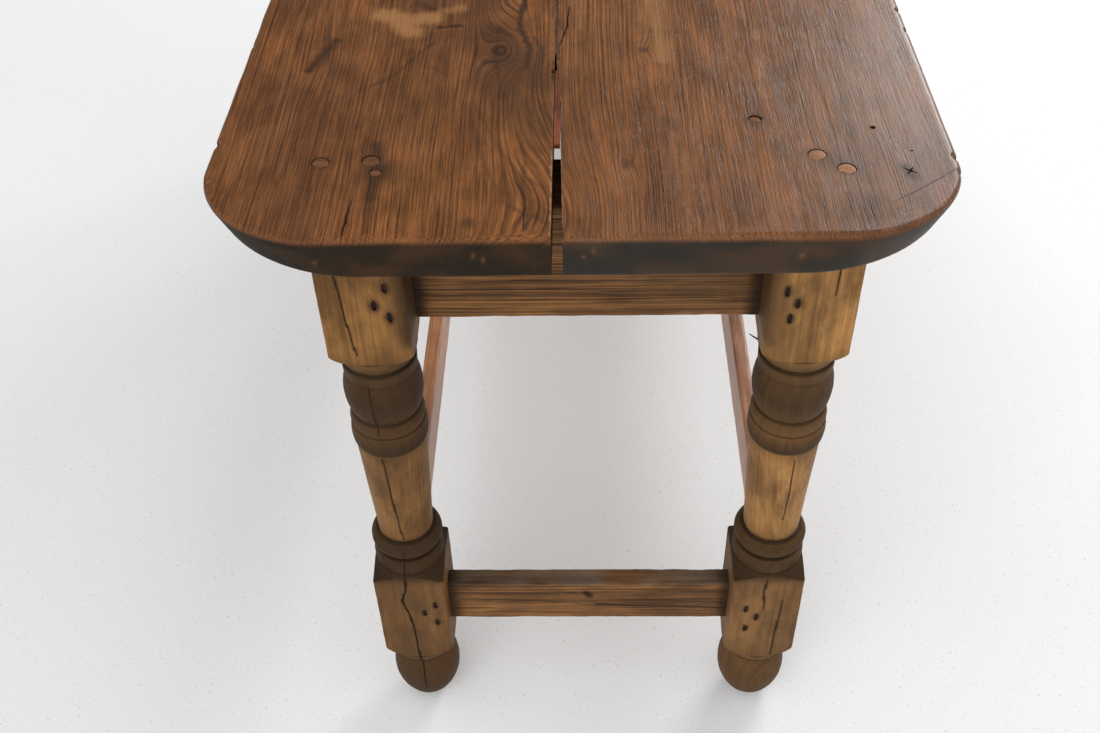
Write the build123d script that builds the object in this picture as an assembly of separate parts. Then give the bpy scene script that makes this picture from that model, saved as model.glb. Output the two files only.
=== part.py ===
from build123d import *
import os

# A long communion table: a two-board top on four turned legs, joined by aprons and low stretchers.
# Millimetres. X runs across the table, Y along it and Z up from the floor. The near end is -Y.

# ---- The top ------------------------------------------------------------------------------------
TABLE_LENGTH = 1600.0
TABLE_HEIGHT = 770.0
TOP_WIDTH = 648.0
TOP_THICKNESS = 40.0
# The corners are undercut: their radius grows from the surface down to the underside.
TOP_CORNER_R = 105.0
TOP_LOWER_CORNER_R = 147.0
TOP_UPPER_ARRIS_R = 7.0
TOP_LOWER_ARRIS_R = 5.0
TOP_UNDERSIDE = TABLE_HEIGHT - TOP_THICKNESS
NEAR_END = -TABLE_LENGTH / 2

# The boards' edge joint runs left of the middle. At the near end the right board has shrunk back.
JOINT_X = -23.0
JOINT_GAP = 6.8
JOINT_MOUTH = 9.5
JOINT_SLIP_START = NEAR_END + 136.0
JOINT_SLIP_BREAK = NEAR_END + 196.0
JOINT_SLIP_END = NEAR_END + 261.0
JOINT_CLOSED = NEAR_END + 302.0
SLIP_DEPTH = 6.0
DOWEL_R = 5.0
DOWEL_LENGTH = 70.0
DOWEL_PLACES = (-450.0, -225.0, 225.0, 450.0, 610.0)

# Marks in the right board near its corner: a small round plug and an old nail hole.
PLUG_PLACE = (156.7, NEAR_END + 172.0)
PLUG_R = 6.0
PLUG_DEPTH = 12.0
PLUG_SUNK = 1.0
NAIL_HOLE_PLACE = (258.4, NEAR_END + 156.0)
NAIL_HOLE_R = 2.6
NAIL_HOLE_DEPTH = 8.0

# ---- The legs -----------------------------------------------------------------------------------
LEG_STOCK = 79.0
LEG_ARRIS_R = 3.0
LEG_SPACING = 400.0
LEG_CENTRE_X = 6.0
END_OVERHANG = 47.0
LEG_X = {"left": LEG_CENTRE_X - LEG_SPACING / 2, "right": LEG_CENTRE_X + LEG_SPACING / 2}
LEG_Y = TABLE_LENGTH / 2 - END_OVERHANG - LEG_STOCK / 2
HALF_STOCK = LEG_STOCK / 2
# The lathe passes outside the corners of the square stock wherever a block is left.
CLEAR_R = HALF_STOCK * 2**0.5 + 1.0

# Heights of the turned members, upwards from the floor.
FOOT_BELLY = 42.0
FOOT_TOP = 90.0
SMALL_COLLAR = (95.0, 101.0)
LOWER_BLOCK = (111.0, 265.0)
LOWER_COLLAR_TOP = 288.0
RING = (292.0, 301.0)
SHAFT = (314.0, 461.0)
LIP_TOP = 483.0
LOWER_BAND_TOP = 500.0
BULGE_TOP = 553.0
UPPER_BAND_TOP = 568.5
UPPER_BLOCK = 588.0
# How far each rounded shoulder rises or falls before it reaches the stock's corners.
FOOT_SHOULDER = 31.0
BLOCK_SHOULDER = 9.0
TOP_SHOULDER = 18.0
# The depth and the rise of the little steps between neighbouring members.
STEP = 1.0
GROOVE_STEP = 1.5

# Radii of the turned members.
FOOT_CONTACT_R = 17.0
FOOT_R = 39.0
COLLAR_R = 38.0
RING_R = 39.2
RING_TOP_R = 33.0
SHAFT_R = (30.0, 36.5)
LIP_R = 38.4
BULGE_R = 39.5
BAND_R = 37.0
GROOVE_R = 34.0
DEEP_GROOVE_R = 31.0
SHOULDER_R = 50.5
STEEP_SHOULDER_R = 46.5

# ---- The rails ----------------------------------------------------------------------------------
RAIL_ARRIS_R = 1.5
TENON_LENGTH = 34.5
APRON_TENON_TOP = 690.0
APRON_TENON_SHOULDER = 8.0
STRETCHER_TENON_SHOULDER = 5.0
STRETCHER_TENON_MARGIN = 1.5

END_APRON_THICKNESS = 24.0
END_APRON_SETBACK = 48.5
SIDE_APRON_THICKNESS = 24.0
SIDE_APRON_OFFSET = 7.5
APRON_HEIGHT = 126.0
APRON_TENON_THICKNESS = 12.0
APRON_BOTTOM = TOP_UNDERSIDE - APRON_HEIGHT

END_STRETCHER_THICKNESS = 23.0
END_STRETCHER_SETBACK = 24.0
END_STRETCHER_BOTTOM = 155.0
SIDE_STRETCHER_THICKNESS = 20.0
SIDE_STRETCHER_OFFSET = 7.0
SIDE_STRETCHER_BOTTOM = 180.0
STRETCHER_HEIGHT = 65.0
STRETCHER_TENON_THICKNESS = 10.0
SIDE_TENON_LENGTH = 30.0

# ---- Battens under the top ----------------------------------------------------------------------
BATTEN_WIDTH = 46.0
BATTEN_THICKNESS = 26.0
BATTEN_GAP = 1.0
END_BATTEN_Y = LEG_Y - HALF_STOCK - BATTEN_GAP - BATTEN_WIDTH / 2
BATTEN_NAIL_X = (-150.0, -75.0, 60.0, 150.0)
BATTEN_NAIL_LENGTH = 42.0

# ---- Pegs and nails -----------------------------------------------------------------------------
PEG_BOTTOM = 695.0
# Peg centres from the leg's centre (across, inwards along the table) and radii.
TOP_PEGS = {
    "left": ((-29.5, 24.5, 7.4), (14.0, 26.5, 7.8), (20.0, 8.5, 5.0)),
    "right": ((-2.0, 28.5, 7.8), (20.0, 7.1, 7.8)),
}
NAIL_HEAD = (3.5, 9.0)
NAIL_POINT = (2.0, 4.0)
NAIL_SUNK = 1.5
FACE_NAIL_LENGTH = 66.0
SIDE_NAIL_LENGTH = 42.0
# Nails in a leg's end face: offset across from the leg's centre, and height.
APRON_FACE_NAILS = {
    "left": ((22.6, 681.0), (11.3, 661.0), (23.9, 646.5)),
    "right": ((-25.1, 673.0), (-14.8, 659.5), (-19.9, 642.0)),
}
STRETCHER_FACE_NAILS = {
    "left": ((27.0, 213.5), (13.6, 198.6), (26.9, 181.0)),
    "right": ((-8.5, 190.0), (-19.5, 168.5), (-21.5, 205.5)),
}
# Nails in a leg's outer side face: offset inwards along the table, and height.
APRON_SIDE_NAILS = ((24.0, 676.0), (17.0, 640.0))
STRETCHER_SIDE_NAILS = ((23.0, 228.0), (17.0, 200.0))

# A thin nail tip that stands out of the near right leg, just under its upper block.
SPLINTER_R = 1.0
SPLINTER_LENGTH = 20.0
SPLINTER_INSIDE = 10.0
SPLINTER_HEIGHT = 577.0
SPLINTER_INWARD = 7.0
SPLINTER_SLOPE = 35.0


def box(low, high):
    """A box from its lowest corner to its highest corner."""
    size = [b - a for a, b in zip(low, high)]
    return Pos(*low) * Box(*size, align=(Align.MIN, Align.MIN, Align.MIN))


def far_end(shape):
    """The same piece at the far end of the table."""
    return mirror(shape, about=Plane.XZ)


def joined(shapes):
    """Separate solids that share one node."""
    return Compound(children=list(shapes))


# ---- The top ------------------------------------------------------------------------------------
def whole_top():
    """The top as one slab, with its corners undercut and its arrises rounded."""
    surface = Pos(0, 0, TABLE_HEIGHT) * RectangleRounded(TOP_WIDTH, TABLE_LENGTH, TOP_CORNER_R)
    underside = Pos(0, 0, TOP_UNDERSIDE) * RectangleRounded(TOP_WIDTH, TABLE_LENGTH, TOP_LOWER_CORNER_R)
    slab = loft([underside, surface], ruled=True)
    slab = fillet(slab.faces().sort_by(Axis.Z)[-1].edges(), TOP_UPPER_ARRIS_R)
    return fillet(slab.faces().sort_by(Axis.Z)[0].edges(), TOP_LOWER_ARRIS_R)


def board_region(points):
    """The part of the slab that one board takes up, from an outline seen from above."""
    outline = make_face(Polyline(*points, close=True))
    return Pos(0, 0, TOP_UNDERSIDE - 1) * extrude(outline, TOP_THICKNESS + 2)


def left_region():
    outside = -TOP_WIDTH / 2 - 1
    end = TABLE_LENGTH / 2 + 1
    return board_region([(outside, -end), (JOINT_X, -end), (JOINT_X, end), (outside, end)])


def right_region():
    outside = TOP_WIDTH / 2 + 1
    end = TABLE_LENGTH / 2 + 1
    worn_edge = [
        (JOINT_X, end),
        (JOINT_X, JOINT_CLOSED),
        (JOINT_X + JOINT_GAP, JOINT_SLIP_BREAK),
        (JOINT_X + JOINT_GAP, JOINT_SLIP_START),
        (JOINT_X + JOINT_MOUTH, -end),
    ]
    return board_region([*worn_edge, (outside, -end), (outside, end)])


def joint_slips():
    """Two thin slips that fill the open joint, flush with the surface."""
    bottom = TABLE_HEIGHT - SLIP_DEPTH
    front_low = (JOINT_X, JOINT_SLIP_START, bottom)
    front_high = (JOINT_X + JOINT_GAP, JOINT_SLIP_BREAK, TABLE_HEIGHT)
    front = box(front_low, front_high)
    rear_low = (JOINT_X, JOINT_SLIP_BREAK, bottom)
    rear_high = (JOINT_X + JOINT_GAP, JOINT_SLIP_END, TABLE_HEIGHT)
    rear = box(rear_low, rear_high) - right_region()
    return front, rear


def edge_dowels():
    """Dowels across the glued part of the joint."""
    dowel = Rot(0, 90, 0) * Cylinder(DOWEL_R, DOWEL_LENGTH)
    middle = TABLE_HEIGHT - TOP_THICKNESS / 2
    return [Pos(JOINT_X, y, middle) * dowel for y in DOWEL_PLACES]


def top_pegs(side):
    """Pegs through the top into the near leg on one side."""
    length = TABLE_HEIGHT - PEG_BOTTOM
    pegs = []
    for across, inward, radius in TOP_PEGS[side]:
        place = Pos(LEG_X[side] + across, -LEG_Y + inward, PEG_BOTTOM)
        peg = Cylinder(radius, length, align=(Align.CENTER, Align.CENTER, Align.MIN))
        pegs.append(place * peg)
    return pegs


def round_from_surface(place, radius, depth):
    """A round plug or hole that goes straight down from the surface of the top."""
    drilled = Cylinder(radius, depth, align=(Align.CENTER, Align.CENTER, Align.MAX))
    return Pos(*place, TABLE_HEIGHT) * drilled


# ---- The legs -----------------------------------------------------------------------------------
def lathe_outline():
    """Half of the leg's turned outline, from the floor up, with X as the radius."""
    low, high = LOWER_BLOCK
    collar_belly = (high + LOWER_COLLAR_TOP) / 2
    band_belly = (LIP_TOP + LOWER_BAND_TOP) / 2
    lip_belly = (SHAFT[1] + LIP_TOP) / 2
    bulge_belly = (LOWER_BAND_TOP + BULGE_TOP) / 2
    cove_belly = (UPPER_BAND_TOP + UPPER_BLOCK) / 2

    # The foot and its collar, then the rounded shoulder of the lower block.
    ground = (FOOT_CONTACT_R, 0)
    neck = (DEEP_GROOVE_R, FOOT_TOP)
    collar_foot = (GROOVE_R, SMALL_COLLAR[0])
    collar_top = (COLLAR_R, low)
    block_low = (CLEAR_R, low + FOOT_SHOULDER)
    pieces = [
        Line((0, 0), ground),
        ThreePointArc(ground, (FOOT_R, FOOT_BELLY), neck),
        Line(neck, collar_foot),
        ThreePointArc(collar_foot, (COLLAR_R, SMALL_COLLAR[1]), collar_top),
        ThreePointArc(collar_top, (SHOULDER_R, low + BLOCK_SHOULDER), block_low),
    ]

    # The lower block's sloping shoulder, then the collar, groove and ring under the shaft.
    block_high = (CLEAR_R, high - BLOCK_SHOULDER)
    half_slope = (STEEP_SHOULDER_R, high - BLOCK_SHOULDER / 2)
    collar_low = (COLLAR_R - STEP, high + 2 * STEP)
    collar_high = (COLLAR_R - 2 * STEP, LOWER_COLLAR_TOP)
    groove = (DEEP_GROOVE_R, LOWER_COLLAR_TOP + STEP)
    ring_low = (GROOVE_R, RING[0])
    ring_high = (RING_TOP_R, SHAFT[0])
    shaft_low = (SHAFT_R[0], SHAFT[0] + STEP / 2)
    shaft_high = (SHAFT_R[1], SHAFT[1])
    pieces += [
        Line(block_low, block_high),
        ThreePointArc(block_high, half_slope, collar_low),
        ThreePointArc(collar_low, (COLLAR_R + STEP, collar_belly), collar_high),
        Line(collar_high, groove),
        Line(groove, ring_low),
        ThreePointArc(ring_low, (RING_R, RING[1]), ring_high),
        Line(ring_high, shaft_low),
        Line(shaft_low, shaft_high),
    ]

    # Lip, band, bulge and band, parted by grooves, then the cove and the upper block's shoulder.
    lip_low = (LIP_R, SHAFT[1] + STEP)
    lip_high = (COLLAR_R, LIP_TOP)
    band_low = (COLLAR_R - GROOVE_STEP, LIP_TOP + STEP)
    band_high = (GROOVE_R + GROOVE_STEP, LOWER_BAND_TOP)
    bulge_low = (GROOVE_R, LOWER_BAND_TOP + GROOVE_STEP)
    bulge_high = (GROOVE_R + STEP, BULGE_TOP)
    flat_low = (BAND_R - STEP / 2, BULGE_TOP + GROOVE_STEP)
    flat_high = (BAND_R, UPPER_BAND_TOP)
    cove_low = (GROOVE_R + STEP / 2, UPPER_BAND_TOP + GROOVE_STEP)
    cove_high = (BULGE_R, UPPER_BLOCK)
    upper_low = (CLEAR_R, UPPER_BLOCK + TOP_SHOULDER)
    upper_high = (CLEAR_R, TOP_UNDERSIDE)
    pieces += [
        Line(shaft_high, lip_low),
        ThreePointArc(lip_low, (RING_R, lip_belly), lip_high),
        Line(lip_high, band_low),
        ThreePointArc(band_low, (COLLAR_R, band_belly), band_high),
        Line(band_high, bulge_low),
        ThreePointArc(bulge_low, (BULGE_R, bulge_belly), bulge_high),
        Line(bulge_high, flat_low),
        Line(flat_low, flat_high),
        Line(flat_high, cove_low),
        ThreePointArc(cove_low, (COLLAR_R, cove_belly), cove_high),
        ThreePointArc(cove_high, (SHOULDER_R, UPPER_BLOCK + TOP_SHOULDER / 4), upper_low),
        Line(upper_low, upper_high),
        Line(upper_high, (0, TOP_UNDERSIDE)),
        Line((0, TOP_UNDERSIDE), (0, 0)),
    ]
    return make_face(Plane.XZ * Wire(pieces))


def turned_leg():
    """A leg turned from square stock, standing on the origin. The turned seam lies on a corner."""
    stock = extrude(RectangleRounded(LEG_STOCK, LEG_STOCK, LEG_ARRIS_R), TOP_UNDERSIDE)
    return stock & (Rot(0, 0, 45) * revolve(lathe_outline(), axis=Axis.Z))


# ---- The rails ----------------------------------------------------------------------------------
def tenoned_rail(length, thickness, height, tenon_length, tenon_thickness, tenon_low, tenon_high):
    """A rail along X, on the origin, with a tenon at each end between two heights."""
    rail = Pos(0, 0, height / 2) * Box(length, thickness, height)
    rail = fillet(rail.edges().filter_by(Axis.X), RAIL_ARRIS_R)
    half = length / 2 + tenon_length
    tenon = box((-half, -tenon_thickness / 2, tenon_low), (half, tenon_thickness / 2, tenon_high))
    return rail + tenon


def end_apron():
    length = LEG_SPACING - LEG_STOCK
    heights = (APRON_TENON_SHOULDER, APRON_TENON_TOP - APRON_BOTTOM)
    tenon = (TENON_LENGTH, APRON_TENON_THICKNESS, *heights)
    rail = tenoned_rail(length, END_APRON_THICKNESS, APRON_HEIGHT, *tenon)
    y = -LEG_Y - HALF_STOCK + END_APRON_SETBACK + END_APRON_THICKNESS / 2
    return Pos(LEG_CENTRE_X, y, APRON_BOTTOM) * rail


def end_stretcher():
    length = LEG_SPACING - LEG_STOCK
    heights = (STRETCHER_TENON_SHOULDER, STRETCHER_HEIGHT - STRETCHER_TENON_MARGIN)
    tenon = (TENON_LENGTH, STRETCHER_TENON_THICKNESS, *heights)
    rail = tenoned_rail(length, END_STRETCHER_THICKNESS, STRETCHER_HEIGHT, *tenon)
    y = -LEG_Y - HALF_STOCK + END_STRETCHER_SETBACK + END_STRETCHER_THICKNESS / 2
    return Pos(LEG_CENTRE_X, y, END_STRETCHER_BOTTOM) * rail


def outward(side):
    return 1 if side == "right" else -1


def side_apron(side):
    length = 2 * LEG_Y - LEG_STOCK
    heights = (APRON_TENON_SHOULDER, APRON_TENON_TOP - APRON_BOTTOM)
    tenon = (SIDE_TENON_LENGTH, APRON_TENON_THICKNESS, *heights)
    rail = tenoned_rail(length, SIDE_APRON_THICKNESS, APRON_HEIGHT, *tenon)
    x = LEG_X[side] + outward(side) * SIDE_APRON_OFFSET
    return Pos(x, 0, APRON_BOTTOM) * Rot(0, 0, 90) * rail


def side_stretcher(side):
    length = 2 * LEG_Y - LEG_STOCK
    heights = (STRETCHER_TENON_SHOULDER, STRETCHER_HEIGHT - STRETCHER_TENON_SHOULDER)
    tenon = (SIDE_TENON_LENGTH, STRETCHER_TENON_THICKNESS, *heights)
    rail = tenoned_rail(length, SIDE_STRETCHER_THICKNESS, STRETCHER_HEIGHT, *tenon)
    x = LEG_X[side] + outward(side) * SIDE_STRETCHER_OFFSET
    return Pos(x, 0, SIDE_STRETCHER_BOTTOM) * Rot(0, 0, 90) * rail


def batten(y):
    """A flat batten under the top, from one side apron to the other."""
    inside = LEG_SPACING + 2 * SIDE_APRON_OFFSET - SIDE_APRON_THICKNESS
    bar = Box(inside, BATTEN_WIDTH, BATTEN_THICKNESS, align=(Align.CENTER, Align.CENTER, Align.MAX))
    return Pos(LEG_CENTRE_X, y, TOP_UNDERSIDE) * bar


# ---- Nails --------------------------------------------------------------------------------------
def cut_nail(length):
    """A tapering cut nail along +Y, with its head at the origin."""
    head = Rectangle(*NAIL_HEAD)
    point = Pos(0, 0, length) * Rectangle(*NAIL_POINT)
    return Rot(-90, 0, 0) * loft([head, point])


def nail_recess():
    """The shallow hole that is left over a nail's head, from the wood's surface inwards."""
    width, height = NAIL_HEAD
    return box((-width / 2, -NAIL_SUNK, -height / 2), (width / 2, 0, height / 2))


def face_nail_places(side, places):
    """Nails driven along +Y into the end face of the near leg on one side."""
    face = -LEG_Y - HALF_STOCK + NAIL_SUNK
    return [Pos(LEG_X[side] + across, face, z) for across, z in places[side]]


def side_nail_places(side, places):
    """Nails driven in through the outer side face of the near leg on one side."""
    face = LEG_X[side] + outward(side) * (HALF_STOCK - NAIL_SUNK)
    turn = Rot(0, 0, 90 * outward(side))
    return [Pos(face, -LEG_Y + inward, z) * turn for inward, z in places]


def leg_nails(side, face_places, side_places):
    """Two lists: the nails that hold one corner's two rails, and the recesses over their heads."""
    faces = face_nail_places(side, face_places)
    sides = side_nail_places(side, side_places)
    nails = [place * cut_nail(FACE_NAIL_LENGTH) for place in faces]
    nails += [place * cut_nail(SIDE_NAIL_LENGTH) for place in sides]
    recesses = [place * nail_recess() for place in faces + sides]
    return nails, recesses


def batten_nails(y):
    """Nails driven up through a batten into the boards."""
    nail = Rot(90, 0, 0) * cut_nail(BATTEN_NAIL_LENGTH)
    bottom = TOP_UNDERSIDE - BATTEN_THICKNESS
    return [Pos(x, y, bottom) * nail for x in BATTEN_NAIL_X]


def splinter_nail():
    """A thin nail whose tip slopes up and out of the near right leg's inner side."""
    pin = Pos(0, 0, -SPLINTER_INSIDE) * Cylinder(
        SPLINTER_R, SPLINTER_LENGTH, align=(Align.CENTER, Align.CENTER, Align.MIN)
    )
    surface = LEG_X["right"] - COLLAR_R
    place = Pos(surface, -LEG_Y + SPLINTER_INWARD, SPLINTER_HEIGHT)
    return place * Rot(0, SPLINTER_SLOPE - 90, 0) * pin


# ---- The whole table ----------------------------------------------------------------------------
def near_corner(side):
    """The near leg on one side, its pegs and its nails, before the rails are cut into it."""
    leg = Pos(LEG_X[side], -LEG_Y, 0) * turned_leg()
    apron_nails, apron_recesses = leg_nails(side, APRON_FACE_NAILS, APRON_SIDE_NAILS)
    stretcher_nails, stretcher_recesses = leg_nails(side, STRETCHER_FACE_NAILS, STRETCHER_SIDE_NAILS)
    for recess in apron_recesses + stretcher_recesses:
        leg -= recess
    return leg, top_pegs(side), apron_nails, stretcher_nails


def boxes_meet(one, other):
    """Whether two shapes' boxes overlap, so that only near tools are used in a cut."""
    a, b = one.bounding_box(optimal=False), other.bounding_box(optimal=False)
    clear_before = a.max.X < b.min.X or a.max.Y < b.min.Y or a.max.Z < b.min.Z
    clear_after = b.max.X < a.min.X or b.max.Y < a.min.Y or b.max.Z < a.min.Z
    return not (clear_before or clear_after)


def cut(piece, tools):
    """The piece less every tool that reaches it."""
    near = [tool for tool in tools if boxes_meet(piece, tool)]
    return piece - near if near else piece


def build_table():
    """Every piece of the table by the name of its node."""
    rails = {
        "apron_front": end_apron(),
        "apron_back": far_end(end_apron()),
        "stretcher_front": end_stretcher(),
        "stretcher_back": far_end(end_stretcher()),
    }
    for side in ("left", "right"):
        rails[f"apron_{side}"] = side_apron(side)
        rails[f"stretcher_{side}"] = side_stretcher(side)

    fixings, legs = {}, {}
    for side in ("left", "right"):
        leg, *groups = near_corner(side)
        legs[f"leg_front_{side}"] = leg
        legs[f"leg_back_{side}"] = far_end(leg)
        for name, group in zip(("top_pegs", "apron_nails", "stretcher_nails"), groups):
            fixings[f"{name}_front_{side}"] = group
            fixings[f"{name}_back_{side}"] = [far_end(item) for item in group]

    battens = {}
    for name, y in (("front", -END_BATTEN_Y), ("middle", 0.0), ("back", END_BATTEN_Y)):
        battens[f"batten_{name}"] = batten(y)
        fixings[f"batten_nails_{name}"] = batten_nails(y)

    splinter = splinter_nail()
    dowels = edge_dowels()
    slip_front, slip_rear = joint_slips()
    plug_hole = round_from_surface(PLUG_PLACE, PLUG_R, PLUG_DEPTH)
    plug_space = round_from_surface(PLUG_PLACE, PLUG_R, PLUG_SUNK)
    nail_hole = round_from_surface(NAIL_HOLE_PLACE, NAIL_HOLE_R, NAIL_HOLE_DEPTH)

    # Mortises take the shape of the tenons, and every peg, nail and dowel has its own hole.
    every_fixing = [item for group in fixings.values() for item in group]
    boards = {"top_board_left": left_region(), "top_board_right": right_region()}
    holes_in_top = [*every_fixing, *dowels, slip_front, slip_rear, plug_hole, nail_hole]
    slab = whole_top()
    table = {name: cut(slab & region, holes_in_top) for name, region in boards.items()}
    for name, leg in legs.items():
        table[name] = cut(leg, [*rails.values(), *every_fixing, splinter])
    for name, wood in (rails | battens).items():
        table[name] = cut(wood, every_fixing)

    table["joint_slip_front"] = slip_front
    table["joint_slip_rear"] = slip_rear
    table["top_plug"] = plug_hole - plug_space
    table["edge_dowels"] = joined(dowels)
    table["splinter_nail"] = splinter
    table |= {name: joined(group) for name, group in fixings.items()}
    return table


os.makedirs("parts", exist_ok=True)
for node, shape in build_table().items():
    export_step(shape, f"parts/{node}.step")
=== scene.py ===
import math

import bmesh
import bpy
import numpy as np
from mathutils import Matrix, Vector


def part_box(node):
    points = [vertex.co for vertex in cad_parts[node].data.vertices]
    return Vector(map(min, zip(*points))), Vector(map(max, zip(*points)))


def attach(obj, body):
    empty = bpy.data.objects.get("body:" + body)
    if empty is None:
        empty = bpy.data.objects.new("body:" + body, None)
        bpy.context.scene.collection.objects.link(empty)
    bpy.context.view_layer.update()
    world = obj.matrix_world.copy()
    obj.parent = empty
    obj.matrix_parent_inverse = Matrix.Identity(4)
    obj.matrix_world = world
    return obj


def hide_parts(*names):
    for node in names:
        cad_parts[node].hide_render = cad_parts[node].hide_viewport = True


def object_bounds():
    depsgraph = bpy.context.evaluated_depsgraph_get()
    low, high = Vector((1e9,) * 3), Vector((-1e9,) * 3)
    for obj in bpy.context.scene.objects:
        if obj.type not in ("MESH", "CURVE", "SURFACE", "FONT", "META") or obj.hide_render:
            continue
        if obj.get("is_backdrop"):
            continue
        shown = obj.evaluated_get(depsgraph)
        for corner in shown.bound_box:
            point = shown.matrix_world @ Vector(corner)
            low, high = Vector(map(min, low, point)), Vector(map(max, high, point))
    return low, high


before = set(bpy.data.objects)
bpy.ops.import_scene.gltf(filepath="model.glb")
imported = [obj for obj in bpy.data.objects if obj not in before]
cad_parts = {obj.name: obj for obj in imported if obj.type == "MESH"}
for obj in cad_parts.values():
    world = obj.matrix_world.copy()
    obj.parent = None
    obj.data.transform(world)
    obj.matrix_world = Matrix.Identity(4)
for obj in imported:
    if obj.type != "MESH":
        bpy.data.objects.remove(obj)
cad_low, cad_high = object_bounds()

# The looks of a long communion table, built around its CAD frame. Metres. X runs across the table,
# Y along it and Z up from the floor. The near end is -Y.

# ---- Sizes that the frame gives -----------------------------------------------------------------
HALF_WIDTH = cad_high.x
HALF_LENGTH = cad_high.y
TOP_SURFACE = cad_high.z
TOP_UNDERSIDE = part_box("leg_front_left")[1].z
HALF_STOCK = (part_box("leg_front_left")[1].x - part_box("leg_front_left")[0].x) / 2
JOINT_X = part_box("top_board_left")[1].x


def middle(node):
    """The middle of a node's box."""
    low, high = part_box(node)
    return (low + high) / 2


# ---- Small tools --------------------------------------------------------------------------------
def spaced(low, high, step):
    """Even steps from low to high, none longer than step."""
    return np.linspace(low, high, max(2, math.ceil(abs(high - low) / step) + 1))


def ripple(x, y, seed, waves=7):
    """A smooth, repeatable unevenness, mostly between -0.6 and 0.6, with features about 1 apart."""
    draw = np.random.default_rng(seed)
    total = 0.0
    for _ in range(waves):
        angle, rate, phase = draw.uniform(0, 2 * math.pi), draw.uniform(2.5, 7.5), draw.uniform(0, 7)
        total = total + np.sin(rate * (x * math.cos(angle) + y * math.sin(angle)) + phase)
    return total / waves


def smooth(value, low, high):
    """0 below low, 1 above high and a soft step between them."""
    t = np.clip((value - low) / (high - low), 0, 1)
    return t * t * (3 - 2 * t)


def metres(value):
    """Millimetres, alone or in nested tuples, as metres."""
    return tuple(metres(item) for item in value) if isinstance(value, tuple) else value / 1000


def circle(count):
    """Even turns all the way round."""
    return np.linspace(0, 2 * math.pi, count, endpoint=False)


def squarish(turn, power):
    """A place on a rounded square of half width 1; the lower the power, the squarer."""
    c, s = math.cos(turn), math.sin(turn)
    return math.copysign(abs(c) ** power, c), math.copysign(abs(s) ** power, s)


def from_stroke(x, y, points):
    """How far each place is from a line through the given points."""
    nearest = np.full(np.shape(x), 1e3)
    ends = points[1:] if len(points) > 1 else points
    for (ax, ay), (bx, by) in zip(points, ends):
        dx, dy = bx - ax, by - ay
        length = max(dx * dx + dy * dy, 1e-12)
        t = np.clip(((x - ax) * dx + (y - ay) * dy) / length, 0, 1)
        nearest = np.minimum(nearest, np.hypot(x - ax - t * dx, y - ay - t * dy))
    return nearest


def painted(x, y, strokes, ragged=1.0):
    """Soft, ragged strokes laid over each other, from 0 to 1.

    Each is its points and half width, in millimetres, and its strength."""
    total = np.zeros(np.shape(x))
    x = x + ragged * (0.0020 * ripple(x / 0.010, y / 0.014, 91) + 0.0045 * ripple(x / 0.040, y / 0.055, 92))
    y = y + ragged * 0.0030 * ripple(x / 0.012, y / 0.016, 93)
    for points, width, strength in strokes:
        away = from_stroke(x, y, metres(points)) * 1000
        near = strength * (1 - smooth(away, 0.1 * width, 1.7 * width))
        total = np.maximum(total, near)
    return total


def lattice(rows, columns, start=0, wrap=False):
    """The quads of a lattice of points that are numbered row by row."""
    last = columns if wrap else columns - 1
    i, j = np.meshgrid(np.arange(rows - 1), np.arange(last), indexing="ij")
    k = (j + 1) % columns
    quads = np.stack([i * columns + j, i * columns + k, (i + 1) * columns + k, (i + 1) * columns + j], -1)
    return (quads.reshape(-1, 4) + start).tolist()


def mend(mesh, merge=False):
    """Turns a mesh's faces outwards, after merging points in the same place where asked."""
    work = bmesh.new()
    work.from_mesh(mesh)
    if merge:
        bmesh.ops.remove_doubles(work, verts=work.verts, dist=1e-6)
    bmesh.ops.recalc_face_normals(work, faces=work.faces)
    work.to_mesh(mesh)
    work.free()


def placed(name, data):
    """A new object in the scene."""
    made = bpy.data.objects.new(name, data)
    bpy.context.scene.collection.objects.link(made)
    return made


def together(solids):
    """Several closed solids as one list of points and one of faces."""
    points, faces = [], []
    for solid_points, solid_faces in solids:
        faces += [[i + len(points) for i in face] for face in solid_faces]
        points += [tuple(p) for p in solid_points]
    return points, faces


def piece(name, points, faces, material, node, slot, marks=None):
    """A new mesh that stands for a CAD node, with its painted marks as attributes."""
    mesh = bpy.data.meshes.new(name)
    mesh.from_pydata(np.asarray(points, float).tolist(), [], faces)
    for mark, values in (marks or {}).items():
        layer = mesh.attributes.new(mark, "FLOAT", "POINT")
        layer.data.foreach_set("value", np.asarray(values, np.float32))
    mend(mesh, merge=True)
    mesh.materials.append(material)
    made = placed(name, mesh)
    soften(made)
    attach(made, "root")
    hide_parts(node)
    return made


SHARP_ANGLE = math.radians(42)


def soften(made):
    """Smooth shading, apart from sharp edges."""
    made.data.polygons.foreach_set("use_smooth", [True] * len(made.data.polygons))
    made.data.set_sharp_from_angle(angle=SHARP_ANGLE)


def place_keys(mesh):
    """One whole number for each vertex of a mesh, the same for the same place."""
    spots = np.empty(len(mesh.vertices) * 3, np.float32)
    mesh.vertices.foreach_get("co", spots)
    x, y, z = np.round(spots.reshape(-1, 3).astype(float) * 1e6).astype(np.int64).T
    return (x * 4000037 + y) * 4000037 + z


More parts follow.
